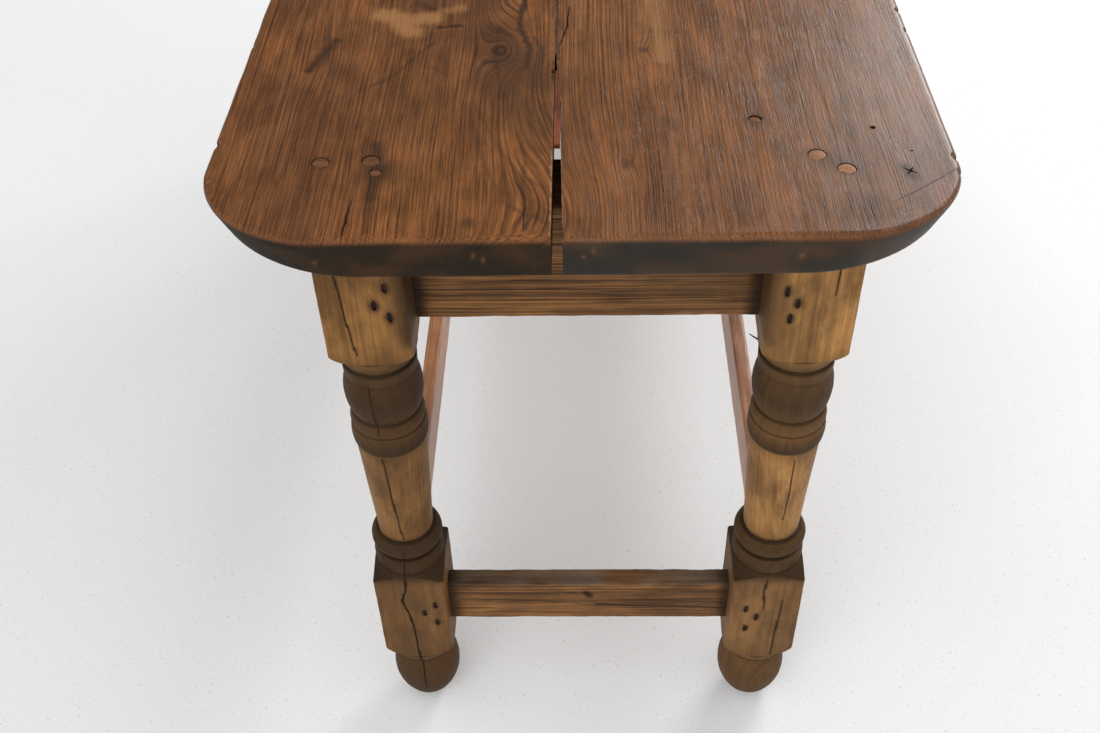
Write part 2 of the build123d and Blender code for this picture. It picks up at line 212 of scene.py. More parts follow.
def carve(made, cutters, dark=0.85):
    """Cuts closed meshes, each given as its points and faces, out of a piece, and paints shade on the cut's
    walls.
    """
    points, faces = together(cutters)
    mesh = bpy.data.meshes.new("cutters")
    mesh.from_pydata(points, [], faces)
    mend(mesh)
    cutter = placed("cutters", mesh)
    boolean = made.modifiers.new("carve", "BOOLEAN")
    boolean.operation = "DIFFERENCE"
    boolean.solver = "EXACT"
    boolean.object = cutter
    before = place_keys(made.data)
    seen = made.evaluated_get(bpy.context.evaluated_depsgraph_get())
    carved = bpy.data.meshes.new_from_object(seen)
    marks = carved.attributes["dirt_and_shade"].data
    values = np.empty(len(marks), np.float32)
    marks.foreach_get("value", values)
    # The new walls of the cuts take painted shade.
    values[~np.isin(place_keys(carved), before)] = dark
    marks.foreach_set("value", values)
    made.modifiers.clear()
    made.data = carved
    bpy.data.objects.remove(cutter)
    soften(made)


def prism(rings):
    """A closed solid through rings of equally many points."""
    rings = np.asarray(rings, float)
    rows, columns = rings.shape[:2]
    faces = lattice(rows, columns, wrap=True)
    faces.append(list(range(columns)))
    faces.append(list(range(rows * columns - columns, rows * columns)))
    return rings.reshape(-1, 3), faces


def crack_cutter(points, width, depth, place):
    """A V-shaped crack through points on a face. place turns (across, along, out) into the frame."""
    points = np.asarray(points, float)
    count = len(points)
    heading = np.gradient(points, axis=0)
    heading /= np.linalg.norm(heading, axis=1)[:, None]
    side = np.stack([-heading[:, 1], heading[:, 0]], -1)
    taper = np.sin(np.linspace(0.12, math.pi - 0.12, count)) ** 0.5
    rings = []
    for centre, across, share in zip(points, side, taper):
        ring = []
        for reach, out in ((-1.5, 0.5), (1.5, 0.5), (0.15, -1.0), (-0.15, -1.0)):
            spot = centre + across * reach * share * width / 2
            ring.append(place(spot[0], spot[1], out * depth * (share if out < 0 else 1)))
        rings.append(ring)
    return prism(rings)


def wandering(points, seed, swing, steps=6):
    """The given line with more points, which wander a little from it."""
    points = np.asarray(points, float)
    draw = np.random.default_rng(seed)
    at = np.linspace(0, len(points) - 1, (len(points) - 1) * steps + 1)
    line = np.stack([np.interp(at, np.arange(len(points)), points[:, k]) for k in (0, 1)], -1)
    line[1:-1] += draw.uniform(-swing, swing, (len(line) - 2, 2))
    return line


# ---- Materials ----------------------------------------------------------------------------------
class Surface:
    """A material, with short ways to write its node tree."""

    def __init__(self, name):
        self.material = bpy.data.materials.new(name)
        self.material.use_nodes = True
        self.tree = self.material.node_tree
        self.shader = self.tree.nodes["Principled BSDF"]
        place = self.add("ShaderNodeTexCoord").outputs["Object"]
        split = self.add("ShaderNodeSeparateXYZ", {0: place})
        self.axes = tuple(split.outputs)

    def add(self, kind, inputs=None, **settings):
        node = self.tree.nodes.new(kind)
        for setting, value in settings.items():
            setattr(node, setting, value)
        for socket, value in (inputs or {}).items():
            self.put(node.inputs[socket], value)
        return node

    def put(self, socket, value):
        if isinstance(value, bpy.types.NodeSocket):
            self.tree.links.new(value, socket)
        else:
            socket.default_value = value

    def math(self, operation, a, b=0.0, c=0.0, clamp=False):
        node = self.add("ShaderNodeMath", {0: a, 1: b, 2: c}, operation=operation, use_clamp=clamp)
        return node.outputs[0]

    def total(self, *values):
        result = values[0]
        for value in values[1:]:
            result = self.math("ADD", result, value)
        return result

    def times(self, a, b):
        return self.math("MULTIPLY", a, b)

    def centred(self, value, size):
        """A value from 0 to 1, spread over the given size with zero at its middle."""
        return self.math("MULTIPLY_ADD", value, size, -size / 2)

    def step(self, value, low, high, start=0.0, end=1.0):
        """A soft step of value from start at low to end at high."""
        sockets = {"Value": value, "From Min": low, "From Max": high, "To Min": start, "To Max": end}
        node = self.add("ShaderNodeMapRange", sockets, interpolation_type="SMOOTHSTEP")
        return node.outputs["Result"]

    def vector(self, x, y, z):
        return self.add("ShaderNodeCombineXYZ", {0: x, 1: y, 2: z}).outputs[0]

    def noise(self, axes, scales, shift=0.0, detail=2.0, roughness=0.5):
        """Noise over three values, each with its own scale; the third one is shifted too."""
        third = self.math("MULTIPLY_ADD", axes[2], scales[2], shift)
        place = self.vector(self.times(axes[0], scales[0]), self.times(axes[1], scales[1]), third)
        sockets = {"Vector": place, "Scale": 1.0, "Detail": detail, "Roughness": roughness}
        return self.add("ShaderNodeTexNoise", sockets).outputs[0]

    def bands(self, value, scale, detail=2.0):
        """Noise along one value."""
        sockets = {"W": value, "Scale": scale, "Detail": detail}
        return self.add("ShaderNodeTexNoise", sockets, noise_dimensions="1D").outputs[0]

    def mix(self, factor, a, b, blend="MIX"):
        node = self.add("ShaderNodeMix", data_type="RGBA", blend_type=blend)
        for socket, value in ((0, factor), (6, a), (7, b)):
            self.put(node.inputs[socket], value if socket == 0 else self.colour(value))
        return node.outputs[2]

    def colour(self, value):
        return (*value, 1.0) if isinstance(value, tuple) and len(value) == 3 else value

    def mark(self, name):
        """A painted mark of the mesh, from 0 to 1."""
        return self.add("ShaderNodeAttribute", attribute_name=name).outputs["Fac"]

    def finish(self, colour, roughness, height, depth, bump=0.6):
        self.put(self.shader.inputs["Base Color"], self.colour(colour))
        self.put(self.shader.inputs["Roughness"], roughness)
        sockets = {"Strength": bump, "Distance": depth, "Height": height}
        self.put(self.shader.inputs["Normal"], self.add("ShaderNodeBump", sockets).outputs[0])
        return self.material


# Colours, as linear red, green and blue.
TOP_EARLY = (0.200, 0.074, 0.021)
TOP_LATE = (0.040, 0.015, 0.007)
TOP_AGED = (0.085, 0.034, 0.016)
TOP_WORN = (0.37, 0.185, 0.070)
PINE_EARLY = (0.204, 0.096, 0.027)
# The right legs' early wood is painted lighter, as painted light from the right.
LIT_PINE_EARLY = (0.302, 0.150, 0.048)
PINE_LATE = (0.105, 0.045, 0.014)
PINE_AGED = (0.095, 0.046, 0.018)
RAIL_EARLY = (0.180, 0.080, 0.025)
RAIL_LATE = (0.014, 0.006, 0.003)
RAIL_AGED = (0.085, 0.044, 0.020)
SALMON_EARLY = (0.52, 0.235, 0.120)
SALMON_LATE = (0.25, 0.095, 0.045)
PEG_EARLY = (0.34, 0.165, 0.085)
PEG_LATE = (0.17, 0.080, 0.042)
DARK_PEG = (0.200, 0.085, 0.034)
SLIP_RED = (0.23, 0.062, 0.026)
GREYED = (0.115, 0.092, 0.068)
PATINA = (0.0070, 0.0078, 0.0052)
PATINA_BROWN = (0.030, 0.0155, 0.0065)
# The dark tone of dirty marks and of painted shade.
GRIME_AND_SHADE = (0.014, 0.0085, 0.005)


def wood(name, along, heart, early, late, aged, ring=0.006, sway=0.010, eddies=(), gloss=0.42, seed=0,
         patina=None, figure=0.75, fine=700.0, deep=0.0003, shine=0.12, grain=0.48, blotch=0.22, flecks=0.0,
         bump=0.5):
    """Old wood whose grain runs along one axis, with growth rings about a heart line beside it.

    heart is where the heart passes, on the two other axes. ring is a ring's width and sway how far
    it wanders. Each eddy is a place (across, along), its two radii and how far it pushes the rings,
    as a knot does. figure, grain, blotch and flecks are the strengths of the late wood, the fibres,
    the broad shades and the pale flecks; fine is the fibres' scale, and patina its two colours."""
    s = Surface(name)
    x, y, z = s.axes
    first, second, length = {"x": (y, z, x), "y": (x, z, y), "z": (x, y, z)}[along]
    a = s.math("SUBTRACT", first, heart[0])
    b = s.math("SUBTRACT", second, heart[1])
    shift = seed * 3.7

    # The rings, which sway along the length and are pushed aside by knots.
    bend = 0.0
    for scales, size in (((2.5, 2.5, 1.3), 2.0), ((14.0, 14.0, 5.0), 0.5), ((60.0, 60.0, 22.0), 0.10)):
        bend = s.total(bend, s.centred(s.noise((a, b, length), scales, shift), size * sway))
    rho = s.math("SQRT", s.total(s.math("POWER", s.total(a, bend), 2.0), s.times(b, b)))
    for (across, down), (wide_r, long_r), push in eddies:
        u = s.math("DIVIDE", s.math("SUBTRACT", first, across), wide_r)
        v = s.math("DIVIDE", s.math("SUBTRACT", length, down), long_r)
        away = s.total(s.times(u, u), s.times(v, v))
        rho = s.math("MULTIPLY_ADD", s.math("EXPONENT", s.times(away, -1.0)), push, rho)

    # Soft early wood that darkens to a thin line of late wood at the end of each ring.
    uneven = s.bands(rho, 45.0, 2.0)
    phase = s.total(s.math("DIVIDE", rho, ring), s.times(uneven, 3.2))
    share = s.math("FRACT", phase)
    dark = s.times(s.step(share, 0.35, 0.92), s.step(share, 0.93, 1.0, 1.0, 0.0))
    fading = s.noise((rho, b, length), (110.0, 30.0, 4.0), shift, 3.0, 0.6)
    strength = s.step(fading, 0.34, 0.64, 0.06, 1.0)
    dark = s.times(dark, strength)

    # Fine fibres and short dark pores that follow the rings.
    fibre = s.noise((rho, b, length), (fine, fine, 0.011 * fine), 0.0, 3.0, 0.62)
    hair = s.noise((rho, b, length), (1.7 * fine, fine, 0.034 * fine), 0.0, 1.0)
    pore = s.step(hair, 0.53, 0.68)
    fleck = s.step(hair, 0.26, 0.40, 1.0, 0.0)
    cloud = s.noise((first, second, length), (7.0, 7.0, 3.6), shift, 3.0)
    patch = s.noise((first, second, length), (27.0, 27.0, 15.0), shift, 4.0, 0.62)

    colour = s.mix(s.times(dark, figure), early, late)
    colour = s.mix(s.step(cloud, 0.38, 0.66, 0.0, 0.85), colour, s.mix(0.55, colour, aged))
    tint = s.step(fibre, 0.28, 0.72, 1 - grain, 1 + grain)
    colour = s.mix(1.0, colour, s.vector(tint, tint, tint), "MULTIPLY")
    shade = s.step(patch, 0.32, 0.68, 1 - blotch, 1 + 0.85 * blotch)
    colour = s.mix(1.0, colour, s.vector(shade, shade, shade), "MULTIPLY")
    colour = s.mix(s.times(pore, grain), colour, late)
    # Pale flecks: painted glints and rubbed grains.
    colour = s.mix(s.times(fleck, flecks), colour, TOP_WORN)

    # Wear, painted highlights, patina, dirty marks and painted shade, where the mesh is painted with them.
    wear_and_highlight, dirt_and_shade, old = s.mark("wear_and_highlight"), s.mark("dirt_and_shade"), s.mark("patina")
    frayed = s.step(s.total(wear_and_highlight, s.centred(fibre, 0.6), s.centred(patch, 0.5)), 0.12, 0.95)
    frayed = s.times(frayed, s.step(wear_and_highlight, 0.02, 0.12))
    pale = s.mix(s.times(dark, 0.35), s.mix(0.25, TOP_WORN, early), early)
    colour = s.mix(s.times(frayed, 0.85), colour, pale)
    if patina:
        spread = s.total(old, s.centred(patch, 0.8), s.centred(fibre, 0.3))
        hue = s.noise(s.axes, (16.0, 16.0, 30.0))
        covered = s.times(s.step(old, 0.0, 0.15), s.step(spread, 0.0, 1.05, 0.0, 0.95))
        colour = s.mix(covered, colour, s.mix(s.step(hue, 0.42, 0.62), *patina))
        gloss = s.math("MULTIPLY_ADD", covered, 0.28, gloss)
    # Dirty marks and painted shade darken the colour towards one dark tone, and roughen it.
    broken = s.total(s.centred(patch, 1.1), s.centred(fibre, 0.7))
    grime = s.step(s.math("MULTIPLY_ADD", s.times(broken, dirt_and_shade), 1.0, dirt_and_shade), 0.02, 0.95)
    colour = s.mix(s.times(grime, 0.90), colour, GRIME_AND_SHADE)

    rough = s.total(gloss, s.centred(fibre, 0.16), s.times(grime, 0.18))
    rough = s.math("ADD", rough, s.times(patch, 0.10), clamp=True)
    ridges = s.total(s.times(fibre, 0.6), s.times(dark, 0.2), s.times(pore, -0.4), s.times(patch, 0.3))
    s.shader.inputs["Specular IOR Level"].default_value = shine
    return s.finish(colour, rough, ridges, deep, bump)


def iron(name):
    """Old black iron with rust in its pits."""
    s = Surface(name)
    pits = s.noise(s.axes, (420.0, 420.0, 420.0), 0.0, 4.0, 0.65)
    bloom = s.noise(s.axes, (90.0, 90.0, 90.0), 0.0, 3.0)
    rust = s.step(s.total(pits, bloom), 0.95, 1.25)
    colour = s.mix(rust, (0.014, 0.010, 0.008), (0.060, 0.024, 0.011))
    s.shader.inputs["Metallic"].default_value = 0.25
    s.shader.inputs["Specular IOR Level"].default_value = 0.2
    rough = s.math("MULTIPLY_ADD", rust, 0.25, 0.62)
    return s.finish(colour, rough, pits, 0.0006)


# ---- The top ------------------------------------------------------------------------------------
# The corners are undercut: their radius grows from the surface down to the underside.
CORNER_R = 0.105
LOWER_CORNER_R = 0.147
UNDERCUT_REACH = 0.060
UPPER_ARRIS = 0.007
LOWER_ARRIS = 0.005
JOINT_ARRIS = 0.0011
# The joint edge of the right board at the near end: places along the table and how far it has shrunk back.
SHRUNK_AT = (-0.800, -0.664, -0.604, -0.498)
SHRUNK_BY = (0.0095, 0.0068, 0.0068, 0.0)

# Dark and pale marks in the surface: points and half width in millimetres, and strength.
DARK_MARKS = (
    (((-240, -476), (-250, -508), (-258, -533)), 6.5, 0.66),
    (((-140, -482), (-157, -512), (-176, -546), (-195, -566)), 2.8, 0.51),
    (((-140, -530), (-124, -547)), 3, 0.33),
    (((-142, -454), (-119, -449)), 3.4, 0.70),
    (((-176, -664), (-172, -700), (-174, -742)), 9.5, 0.62),
    (((-172, -700), (-172, -708)), 19, 0.66),
    (((-223.5, -689), (-223.5, -690)), 13, 0.43),
    (((-180, -687), (-180, -688)), 12, 0.45),
    (((156, -628), (157, -634)), 13, 0.51),
    (((204, -685), (226, -706)), 12.5, 0.45),
    (((-163, -400), (-152, -415)), 8, 0.51),
    (((64, -502), (64, -503)), 6, 0.61),
    (((41, -692), (41, -699)), 5, 0.59),
    (((80, -630), (81, -640)), 8, 0.41),
    (((175, -665), (177, -690)), 5, 0.41),
    (((183, -546), (185, -560)), 13, 0.33),
    (((240, -592), (236, -612)), 11, 0.31),
    (((236, -750), (236, -762)), 7, 0.49),
    (((276, -706), (281, -718)), 7, 0.70),
    (((-78, -455), (-82, -500), (-73, -588)), 3, 0.61),
    (((-57, -395), (-56, -456), (-47, -498), (-48, -535)), 3.4, 0.70),
    (((-43, -475), (-36, -511), (-43, -578), (-41, -640)), 3, 0.54),
    (((-84, -512), (-68, -521), (-52, -516)), 5, 0.54),
    (((-88, -470), (-60, -520), (-38, -560)), 33, 0.48),
    (((-80, -560), (-60, -590), (-35, -640)), 28, 0.46),
    (((-95, -597), (-72, -669), (-49, -711), (-28, -730)), 3, 0.37),
    (((-98, -616), (-83, -696), (-59, -756), (-28, -778)), 3.4, 0.41),
    (((-53, -640), (-46, -690), (-45, -788)), 2.8, 0.45),
    (((-90, -776), (-90, -780)), 6, 0.49),
    (((5, -725), (10, -765)), 2.6, 0.41),
    (((-23, -400), (-23.5, -560)), 2, 0.70),
    (((-23, 800), (-23, -400)), 1.6, 0.57),
    (((-150, 210), (-142, 250)), 9, 0.49),
    (((120, 420), (131, 446)), 7.5, 0.51),
    (((60, -80), (71, -150), (62, -210)), 4, 0.41),
    (((-210, -120), (-190, -60)), 12, 0.33),
)
PALE_MARKS = (
    (((-196, -425), (-170, -438), (-150, -432)), 15, 0.92),
    (((-182, -440), (-165, -462)), 14, 0.85),
    (((-120, -414), (-138, -418)), 10, 0.60),
    (((0, -360), (2, -458)), 5, 0.45),
    (((73, -380), (78, -470), (82, -520)), 12, 0.62),
    (((165, -480), (205, -470), (235, -500)), 16, 0.34),
    (((169, -530), (170, -590)), 6, 0.34),
    (((86, -650), (85, -752)), 5, 0.30),
    (((-264, -590), (-266, -645)), 6, 0.26),
    (((-222, -530), (-214, -660)), 5, 0.22),
    (((-100, 20), (-140, 90)), 20, 0.40),
    (((180, 250), (190, 350)), 16, 0.36),
)
# Cracks in the surface: points, width and depth in millimetres.
TOP_CRACKS = {
    "left": (
        (((-191.5, -799.5), (-190.5, -775), (-189.5, -744)), 1.2, 6),
        (((-143, -454.5), (-131, -451.5), (-119, -449.5)), 1.2, 2),
        (((-45.5, -790), (-45, -758)), 0.6, 2),
        (((-112, 799.5), (-110, 760), (-113, 715)), 1.1, 6),
    ),
    "right": (
        (((-9.5, -412), (-11.5, -454), (-18, -492)), 1.3, 3),
        (((236.5, -754), (237.5, -788)), 0.6, 3),
        (((220, -740), (221, -778)), 0.4, 2),
        (((255, -756), (283, -736), (318, -708.5)), 0.4, 1.2),
        (((273, -706), (283, -715)), 2.2, 3),
        (((286, -680), (284, -682.5)), 2, 2),
        (((150, 799.5), (152, 752), (149, 700)), 1.1, 6),
    ),
}
CRACK_SEED = 50
CRACK_SWING = 0.0004
# A nick in the right board that crosses another one, so it's cut after the rest.
NICK_SEED = 49
SECOND_NICK = (((275, -716), (281, -706)), 1.8, 3)


def joint_edge(side, y):
    """Where a board's joint edge lies at each place along the table."""
    if side == "left":
        return np.full(np.shape(y), JOINT_X)
    return JOINT_X + np.interp(y, SHRUNK_AT, SHRUNK_BY)


def board_rows():
    """The rows of a board's lattice: places along the table and the outer edge's turn at each."""
    straight = HALF_LENGTH - CORNER_R
    near_turn = np.linspace(math.pi / 2, 0, 40)[:-1]
    far_turn = np.linspace(0, math.pi / 2, 30)[1:]
    along = np.concatenate([
        spaced(-straight, -0.38, 0.0026), spaced(-0.38, -0.20, 0.006)[1:],
        spaced(-0.20, 0.55, 0.012)[1:], spaced(0.55, straight, 0.006)[1:],
    ])
    centre = np.concatenate([np.full_like(near_turn, -straight), along, np.full_like(far_turn, straight)])
    turn = np.concatenate([near_turn, np.zeros(len(along)), far_turn])
    return centre, turn


def board(side, material):
    """One board of the top as a closed shell: two lattices, and rings round its edge between them."""
    out = -1 if side == "left" else 1
    centre, turn = board_rows()
    heading = np.sign(centre)
    inner_r = CORNER_R - UPPER_ARRIS
    y = centre + heading * inner_r * np.sin(turn)
    outer = HALF_WIDTH - CORNER_R + inner_r * np.cos(turn)
    joint = joint_edge(side, y) + out * JOINT_ARRIS
    share = spaced(0, 1, 0.0024 / HALF_WIDTH)
    x = joint[:, None] + (out * outer - joint)[:, None] * share[None, :]
    y = np.repeat(y[:, None], len(share), axis=1)
    rows, columns = x.shape

    # The way outwards and the size of the arris at each place round the edge.
    push = np.zeros((rows, columns, 2))
    push[:, -1, 0] = out * np.cos(turn) * UPPER_ARRIS
    push[:, -1, 1] = heading * np.sin(turn) * UPPER_ARRIS
    push[0, :, 1] = -UPPER_ARRIS
    push[-1, :, 1] = UPPER_ARRIS
    push[:, 0, 0] = -out * JOINT_ARRIS
    size = np.full((rows, columns), UPPER_ARRIS)
    from_end = HALF_LENGTH - np.abs(y[:, 0])
    size[:, 0] = JOINT_ARRIS + 0.003 * (1 - smooth(from_end, 0.007, 0.020))
    for row in (0, -1):
        size[row, :] = np.minimum(UPPER_ARRIS, size[row, 0] + 0.45 * np.abs(x[row, :] - x[row, 0]))

    loop = [(0, j) for j in range(columns)] + [(i, columns - 1) for i in range(1, rows)]
    loop += [(rows - 1, j) for j in range(columns - 2, -1, -1)] + [(i, 0) for i in range(rows - 2, 0, -1)]
    r, c = np.array(loop).T
    rim = np.stack([x[r, c], y[r, c]], -1)
    way, arris = push[r, c], size[r, c]

    rings = edge_rings(rim, way, arris)
    top = np.column_stack([x.ravel(), y.ravel(), np.full(x.size, TOP_SURFACE)])
    bottom = top.copy()
    bottom[:, 2] = TOP_UNDERSIDE
    bottom[r * columns + c] = rings.pop()
    points = np.concatenate([top, *rings, bottom])
    count = len(loop)
    faces = lattice(rows, columns)
    ring_start = len(top)
    bottom_start = len(top) + count * len(rings)
    top_ids = (r * columns + c).tolist()
    levels = [top_ids]
    for first in range(ring_start, bottom_start, count):
        levels.append(list(range(first, first + count)))
    levels.append([bottom_start + i for i in top_ids])
    for upper, lower in zip(levels, levels[1:]):
        for k in range(count):
            n = (k + 1) % count
            faces.append([upper[k], upper[n], lower[n], lower[k]])
    faces += [list(reversed(q)) for q in lattice(rows, columns, bottom_start)]

    points, marks = weather_top(points, side)
    made = piece(f"board_{side}", points, faces, material, f"top_board_{side}", "top_boards", marks)
    # Its holes and cracks take a lighter painted shade on their walls.
    carve(made, top_cutters(side), 0.62)
    if side == "right":
        nick, width, depth = metres(SECOND_NICK)
        carve(made, [crack_cutter(wandering(nick, NICK_SEED, CRACK_SWING), width, depth, on_top)])


def edge_rings(rim, way, arris):
    """Rings of places round a board's edge, from its upper arris down to its underside."""
    rings = []
    for t in np.linspace(0, math.pi / 2, 7)[1:]:
        rings.append(np.column_stack([rim + way * math.sin(t), TOP_SURFACE - arris * (1 - math.cos(t))]))
    low_arris = np.minimum(arris, LOWER_ARRIS)
    for drop in np.linspace(0, 1, 8)[1:]:
        z = (TOP_SURFACE - arris) * (1 - drop) + (TOP_UNDERSIDE + low_arris) * drop
        rings.append(np.column_stack([rim + way, z]))
    pull = way * (LOWER_ARRIS / UPPER_ARRIS)
    for t in np.linspace(0, math.pi / 2, 5)[1:]:
        spot = rim + way - pull * (1 - math.cos(t))
        rings.append(np.column_stack([spot, TOP_UNDERSIDE + low_arris * (1 - math.sin(t))]))
    return rings


def from_rim(x, y, radius=CORNER_R):
    """How far inside the top's rounded outline each place is."""
    past_x = np.abs(x) - (HALF_WIDTH - radius)
    past_y = np.abs(y) - (HALF_LENGTH - radius)
    square = radius - np.maximum(past_x, past_y)
    return np.where((past_x > 0) & (past_y > 0), radius - np.hypot(past_x, past_y), square)


def undercut(x, y, z, edge, way):
    """The places moved in towards the top's middle, near its corners and most of all low down."""
    radius = CORNER_R + (LOWER_CORNER_R - CORNER_R) * (TOP_SURFACE - z) / (TOP_SURFACE - TOP_UNDERSIDE)
    rim_x = x + way[0] * edge
    rim_y = y + way[1] * edge
    outside = np.clip(-from_rim(rim_x, rim_y, radius), 0, None)
    past_x = np.clip(np.abs(rim_x) - (HALF_WIDTH - radius), 0, None)
    past_y = np.clip(np.abs(rim_y) - (HALF_LENGTH - radius), 0, None)
    reach = np.maximum(np.hypot(past_x, past_y), 1e-6)
    share = outside * np.clip(1 - edge / UNDERCUT_REACH, 0, 1)
    return x - np.sign(x) * past_x / reach * share, y - np.sign(y) * past_y / reach * share


# Small pale dents in the near end's face: place across and height in millimetres.
END_DENTS = (
    (-86, 753), (-78, 749), (3, 752), (11, 757), (-216, 746), (178, 750),
)
# Chips along the edge of the top: place, radius and depth in millimetres.
EDGE_CHIPS = (
    ((-322, -656), 6, 3.5), ((-318, -714), 4.5, 2.2),
    ((323, -690), 6, 3.2), ((322, -712), 5, 2.4),
    ((323, -470), 5, 2.6), ((324, -428), 7, 2.6),
    ((324, -545), 4, 1.6), ((-324, -480), 5, 1.6),
    ((324, 120), 8, 2.8), ((-324, 330), 8, 2.8),
    ((-180, 800), 7, 2.6), ((210, 800), 6, 2.4),
)


def weather_top(points, side):
    """The board's points, moved a little inside their true places by wear, and its painted marks."""
    x, y, z = points.T
    edge = from_rim(x, y)
    past = np.stack([np.abs(x) - (HALF_WIDTH - CORNER_R), np.abs(y) - (HALF_LENGTH - CORNER_R)])
    past = np.where(past.max(axis=0) > 0, np.clip(past, 0, None), past - past.min(axis=0) + 1e-6)
    way = np.stack([np.sign(x), np.sign(y)]) * past / np.linalg.norm(past, axis=0)
    upper = z > TOP_SURFACE - 0.0005
    hollow = 0.00035 * (ripple(x / 0.05, y / 0.21, 11) + 0.6)
    hollow += 0.00012 * (ripple(x / 0.012, y / 0.06, 12) + 0.6)
    z = np.where(upper, z - np.clip(hollow, 0, None) * smooth(edge, 0.0, 0.02), z)

    # The sides and ends, planed by hand and chipped here and there.
    inward = 0.0006 * (ripple(y / 0.045 + x / 0.05, z / 0.02, 13) + 0.6)
    inward = np.clip(inward, 0, None) * (1 - smooth(edge, 0.004, 0.012))
    chipped = np.zeros(len(x))
    for (chip_x, chip_y), radius, depth in metres(EDGE_CHIPS):
        away = np.hypot(x - chip_x, y - chip_y)
        ragged = radius * (1 + 0.35 * ripple(x / 0.004, y / 0.004 + z / 0.004, 17))
        bite = 1 - smooth(away, 0.3 * ragged, ragged)
        bite = bite * smooth(z, TOP_SURFACE - 0.012, TOP_SURFACE - 0.004)
        chipped = np.maximum(chipped, bite * depth)
    x = x - way[0] * (inward + chipped)
    y = y - way[1] * (inward + chipped)
    z = z - 0.6 * chipped

    flat = smooth(z, TOP_SURFACE - 0.006, TOP_SURFACE - 0.001)
    dirt_and_shade = painted(x, y, DARK_MARKS) * flat
    for end in ("front", "back"):
        for peg_x, peg_y, radius in peg_places(end, side):
            away = np.abs(np.hypot(x - peg_x, y - peg_y) - radius)
            dirt_and_shade = np.maximum(dirt_and_shade, 0.50 * (1 - smooth(away, 0.0004, 0.0052)) * flat)
    under = 1 - smooth(z, TOP_UNDERSIDE, TOP_UNDERSIDE + 0.003)
    rim_sheen = (1 - smooth(edge, 0.002, 0.012)) * smooth(z, TOP_SURFACE - 0.005, TOP_SURFACE)
    wear_and_highlight = painted(x, y, PALE_MARKS) * flat
    wear_and_highlight = np.maximum(wear_and_highlight, np.clip(chipped * 260, 0, 0.9))
    # Painted highlight along the right part of the rim.
    wear_and_highlight = np.maximum(wear_and_highlight, 0.08 * rim_sheen * smooth(x, 0.10, 0.30))
    dented = np.zeros(len(x))
    for dent_x, dent_z in metres(END_DENTS):
        at_dent = (1 - smooth(np.hypot(x - dent_x, z - dent_z), 0.001, 0.0045)) * (y < -HALF_LENGTH + 0.004)
        dented = np.maximum(dented, 0.45 * at_dent)
    wear_and_highlight = np.maximum(wear_and_highlight, dented)
    # Painted highlight, with some wear, on the left board's joint arris near the mouth.
    joint_highlight = (1 - smooth(np.abs(x - JOINT_X), 0.0012, 0.0022)) * (1 - smooth(y, -0.690, -0.650)) * flat
    if side == "left":
        wear_and_highlight = np.maximum(wear_and_highlight, 0.9 * joint_highlight * np.clip(0.6 + ripple(y / 0.012, y * 0, 19), 0, 1))
    below = 1 - smooth(z, TOP_SURFACE - 0.0075, TOP_SURFACE - 0.0008)
    outside = 1 - smooth(edge, 0.002, 0.006)
    patina = np.clip(below * np.maximum(outside, 0) + 0.35 * under, 0, 1) * (1 - dented)
    x, y = undercut(x, y, z, np.clip(edge, 0, None), way)
    return np.column_stack([x, y, z]), {"dirt_and_shade": dirt_and_shade, "wear_and_highlight": wear_and_highlight, "patina": patina}


def on_top(x, y, out):
    """A place on the top, or above or below it."""
    return (x, y, TOP_SURFACE + out)


def round_cutter(x, y, radius, low, high, seed):
    """A slightly uneven round hole."""
    turn = circle(28)
    r = radius * (1 + 0.03 * ripple(np.cos(turn) * 2, np.sin(turn) * 2, seed))
    ring = np.column_stack([x + r * np.cos(turn), y + r * np.sin(turn)])
    return prism([np.column_stack([ring, np.full(28, z)]) for z in (low, high)])


# How far a cutter reaches past the surface that it cuts.
PROUD = 0.002
# Pegs near each leg: place from its centre (across, inwards along the table) and radius in millimetres.
PEGS = {
    "left": ((-29.5, 24.5, 7.4), (14, 26.5, 7.8), (20, 8.5, 5)),
    "right": ((-2, 28.5, 7.8), (20, 7.1, 7.8)),
}
PEG_GAP = 0.00045
PLUG_PLACE = (0.1567, -0.628)
PLUG_R = 0.0060
# Other round holes in each board: place, radius, depth and seed. The first on the right takes the plug.
ROUND_HOLES = {
    "left": (((-0.0238, -0.542), 0.0024, 0.009, 33),),
    "right": ((PLUG_PLACE, PLUG_R + PEG_GAP, 0.0125, 31), ((0.2584, -0.644), 0.0026, 0.008, 32)),
}


def peg_places(end, side):
    """The centres and radii of the pegs at one corner."""
    leg = middle(f"leg_{end}_{side}")
    inward = 1 if end == "front" else -1
    pegs = metres(PEGS[side])
    return [(leg.x + across, leg.y + inward * inwards, radius) for across, inwards, radius in pegs]


def top_cutters(side):
    """Everything that is cut out of one board: holes for its pegs and plug, and its cracks."""
    cutters = []
    for end in ("front", "back"):
        for x, y, radius in peg_places(end, side):
            low = TOP_UNDERSIDE - PROUD
            cutters.append(round_cutter(x, y, radius + PEG_GAP, low, TOP_SURFACE + PROUD, len(cutters)))
    for (x, y), radius, depth, seed in ROUND_HOLES[side]:
        cutters.append(round_cutter(x, y, radius, TOP_SURFACE - depth, TOP_SURFACE + PROUD, seed))

    for number, (points, width, depth) in enumerate(metres(TOP_CRACKS[side])):
        line = wandering(points, CRACK_SEED + number, CRACK_SWING)
        cutters.append(crack_cutter(line, width, depth, on_top))
    return cutters


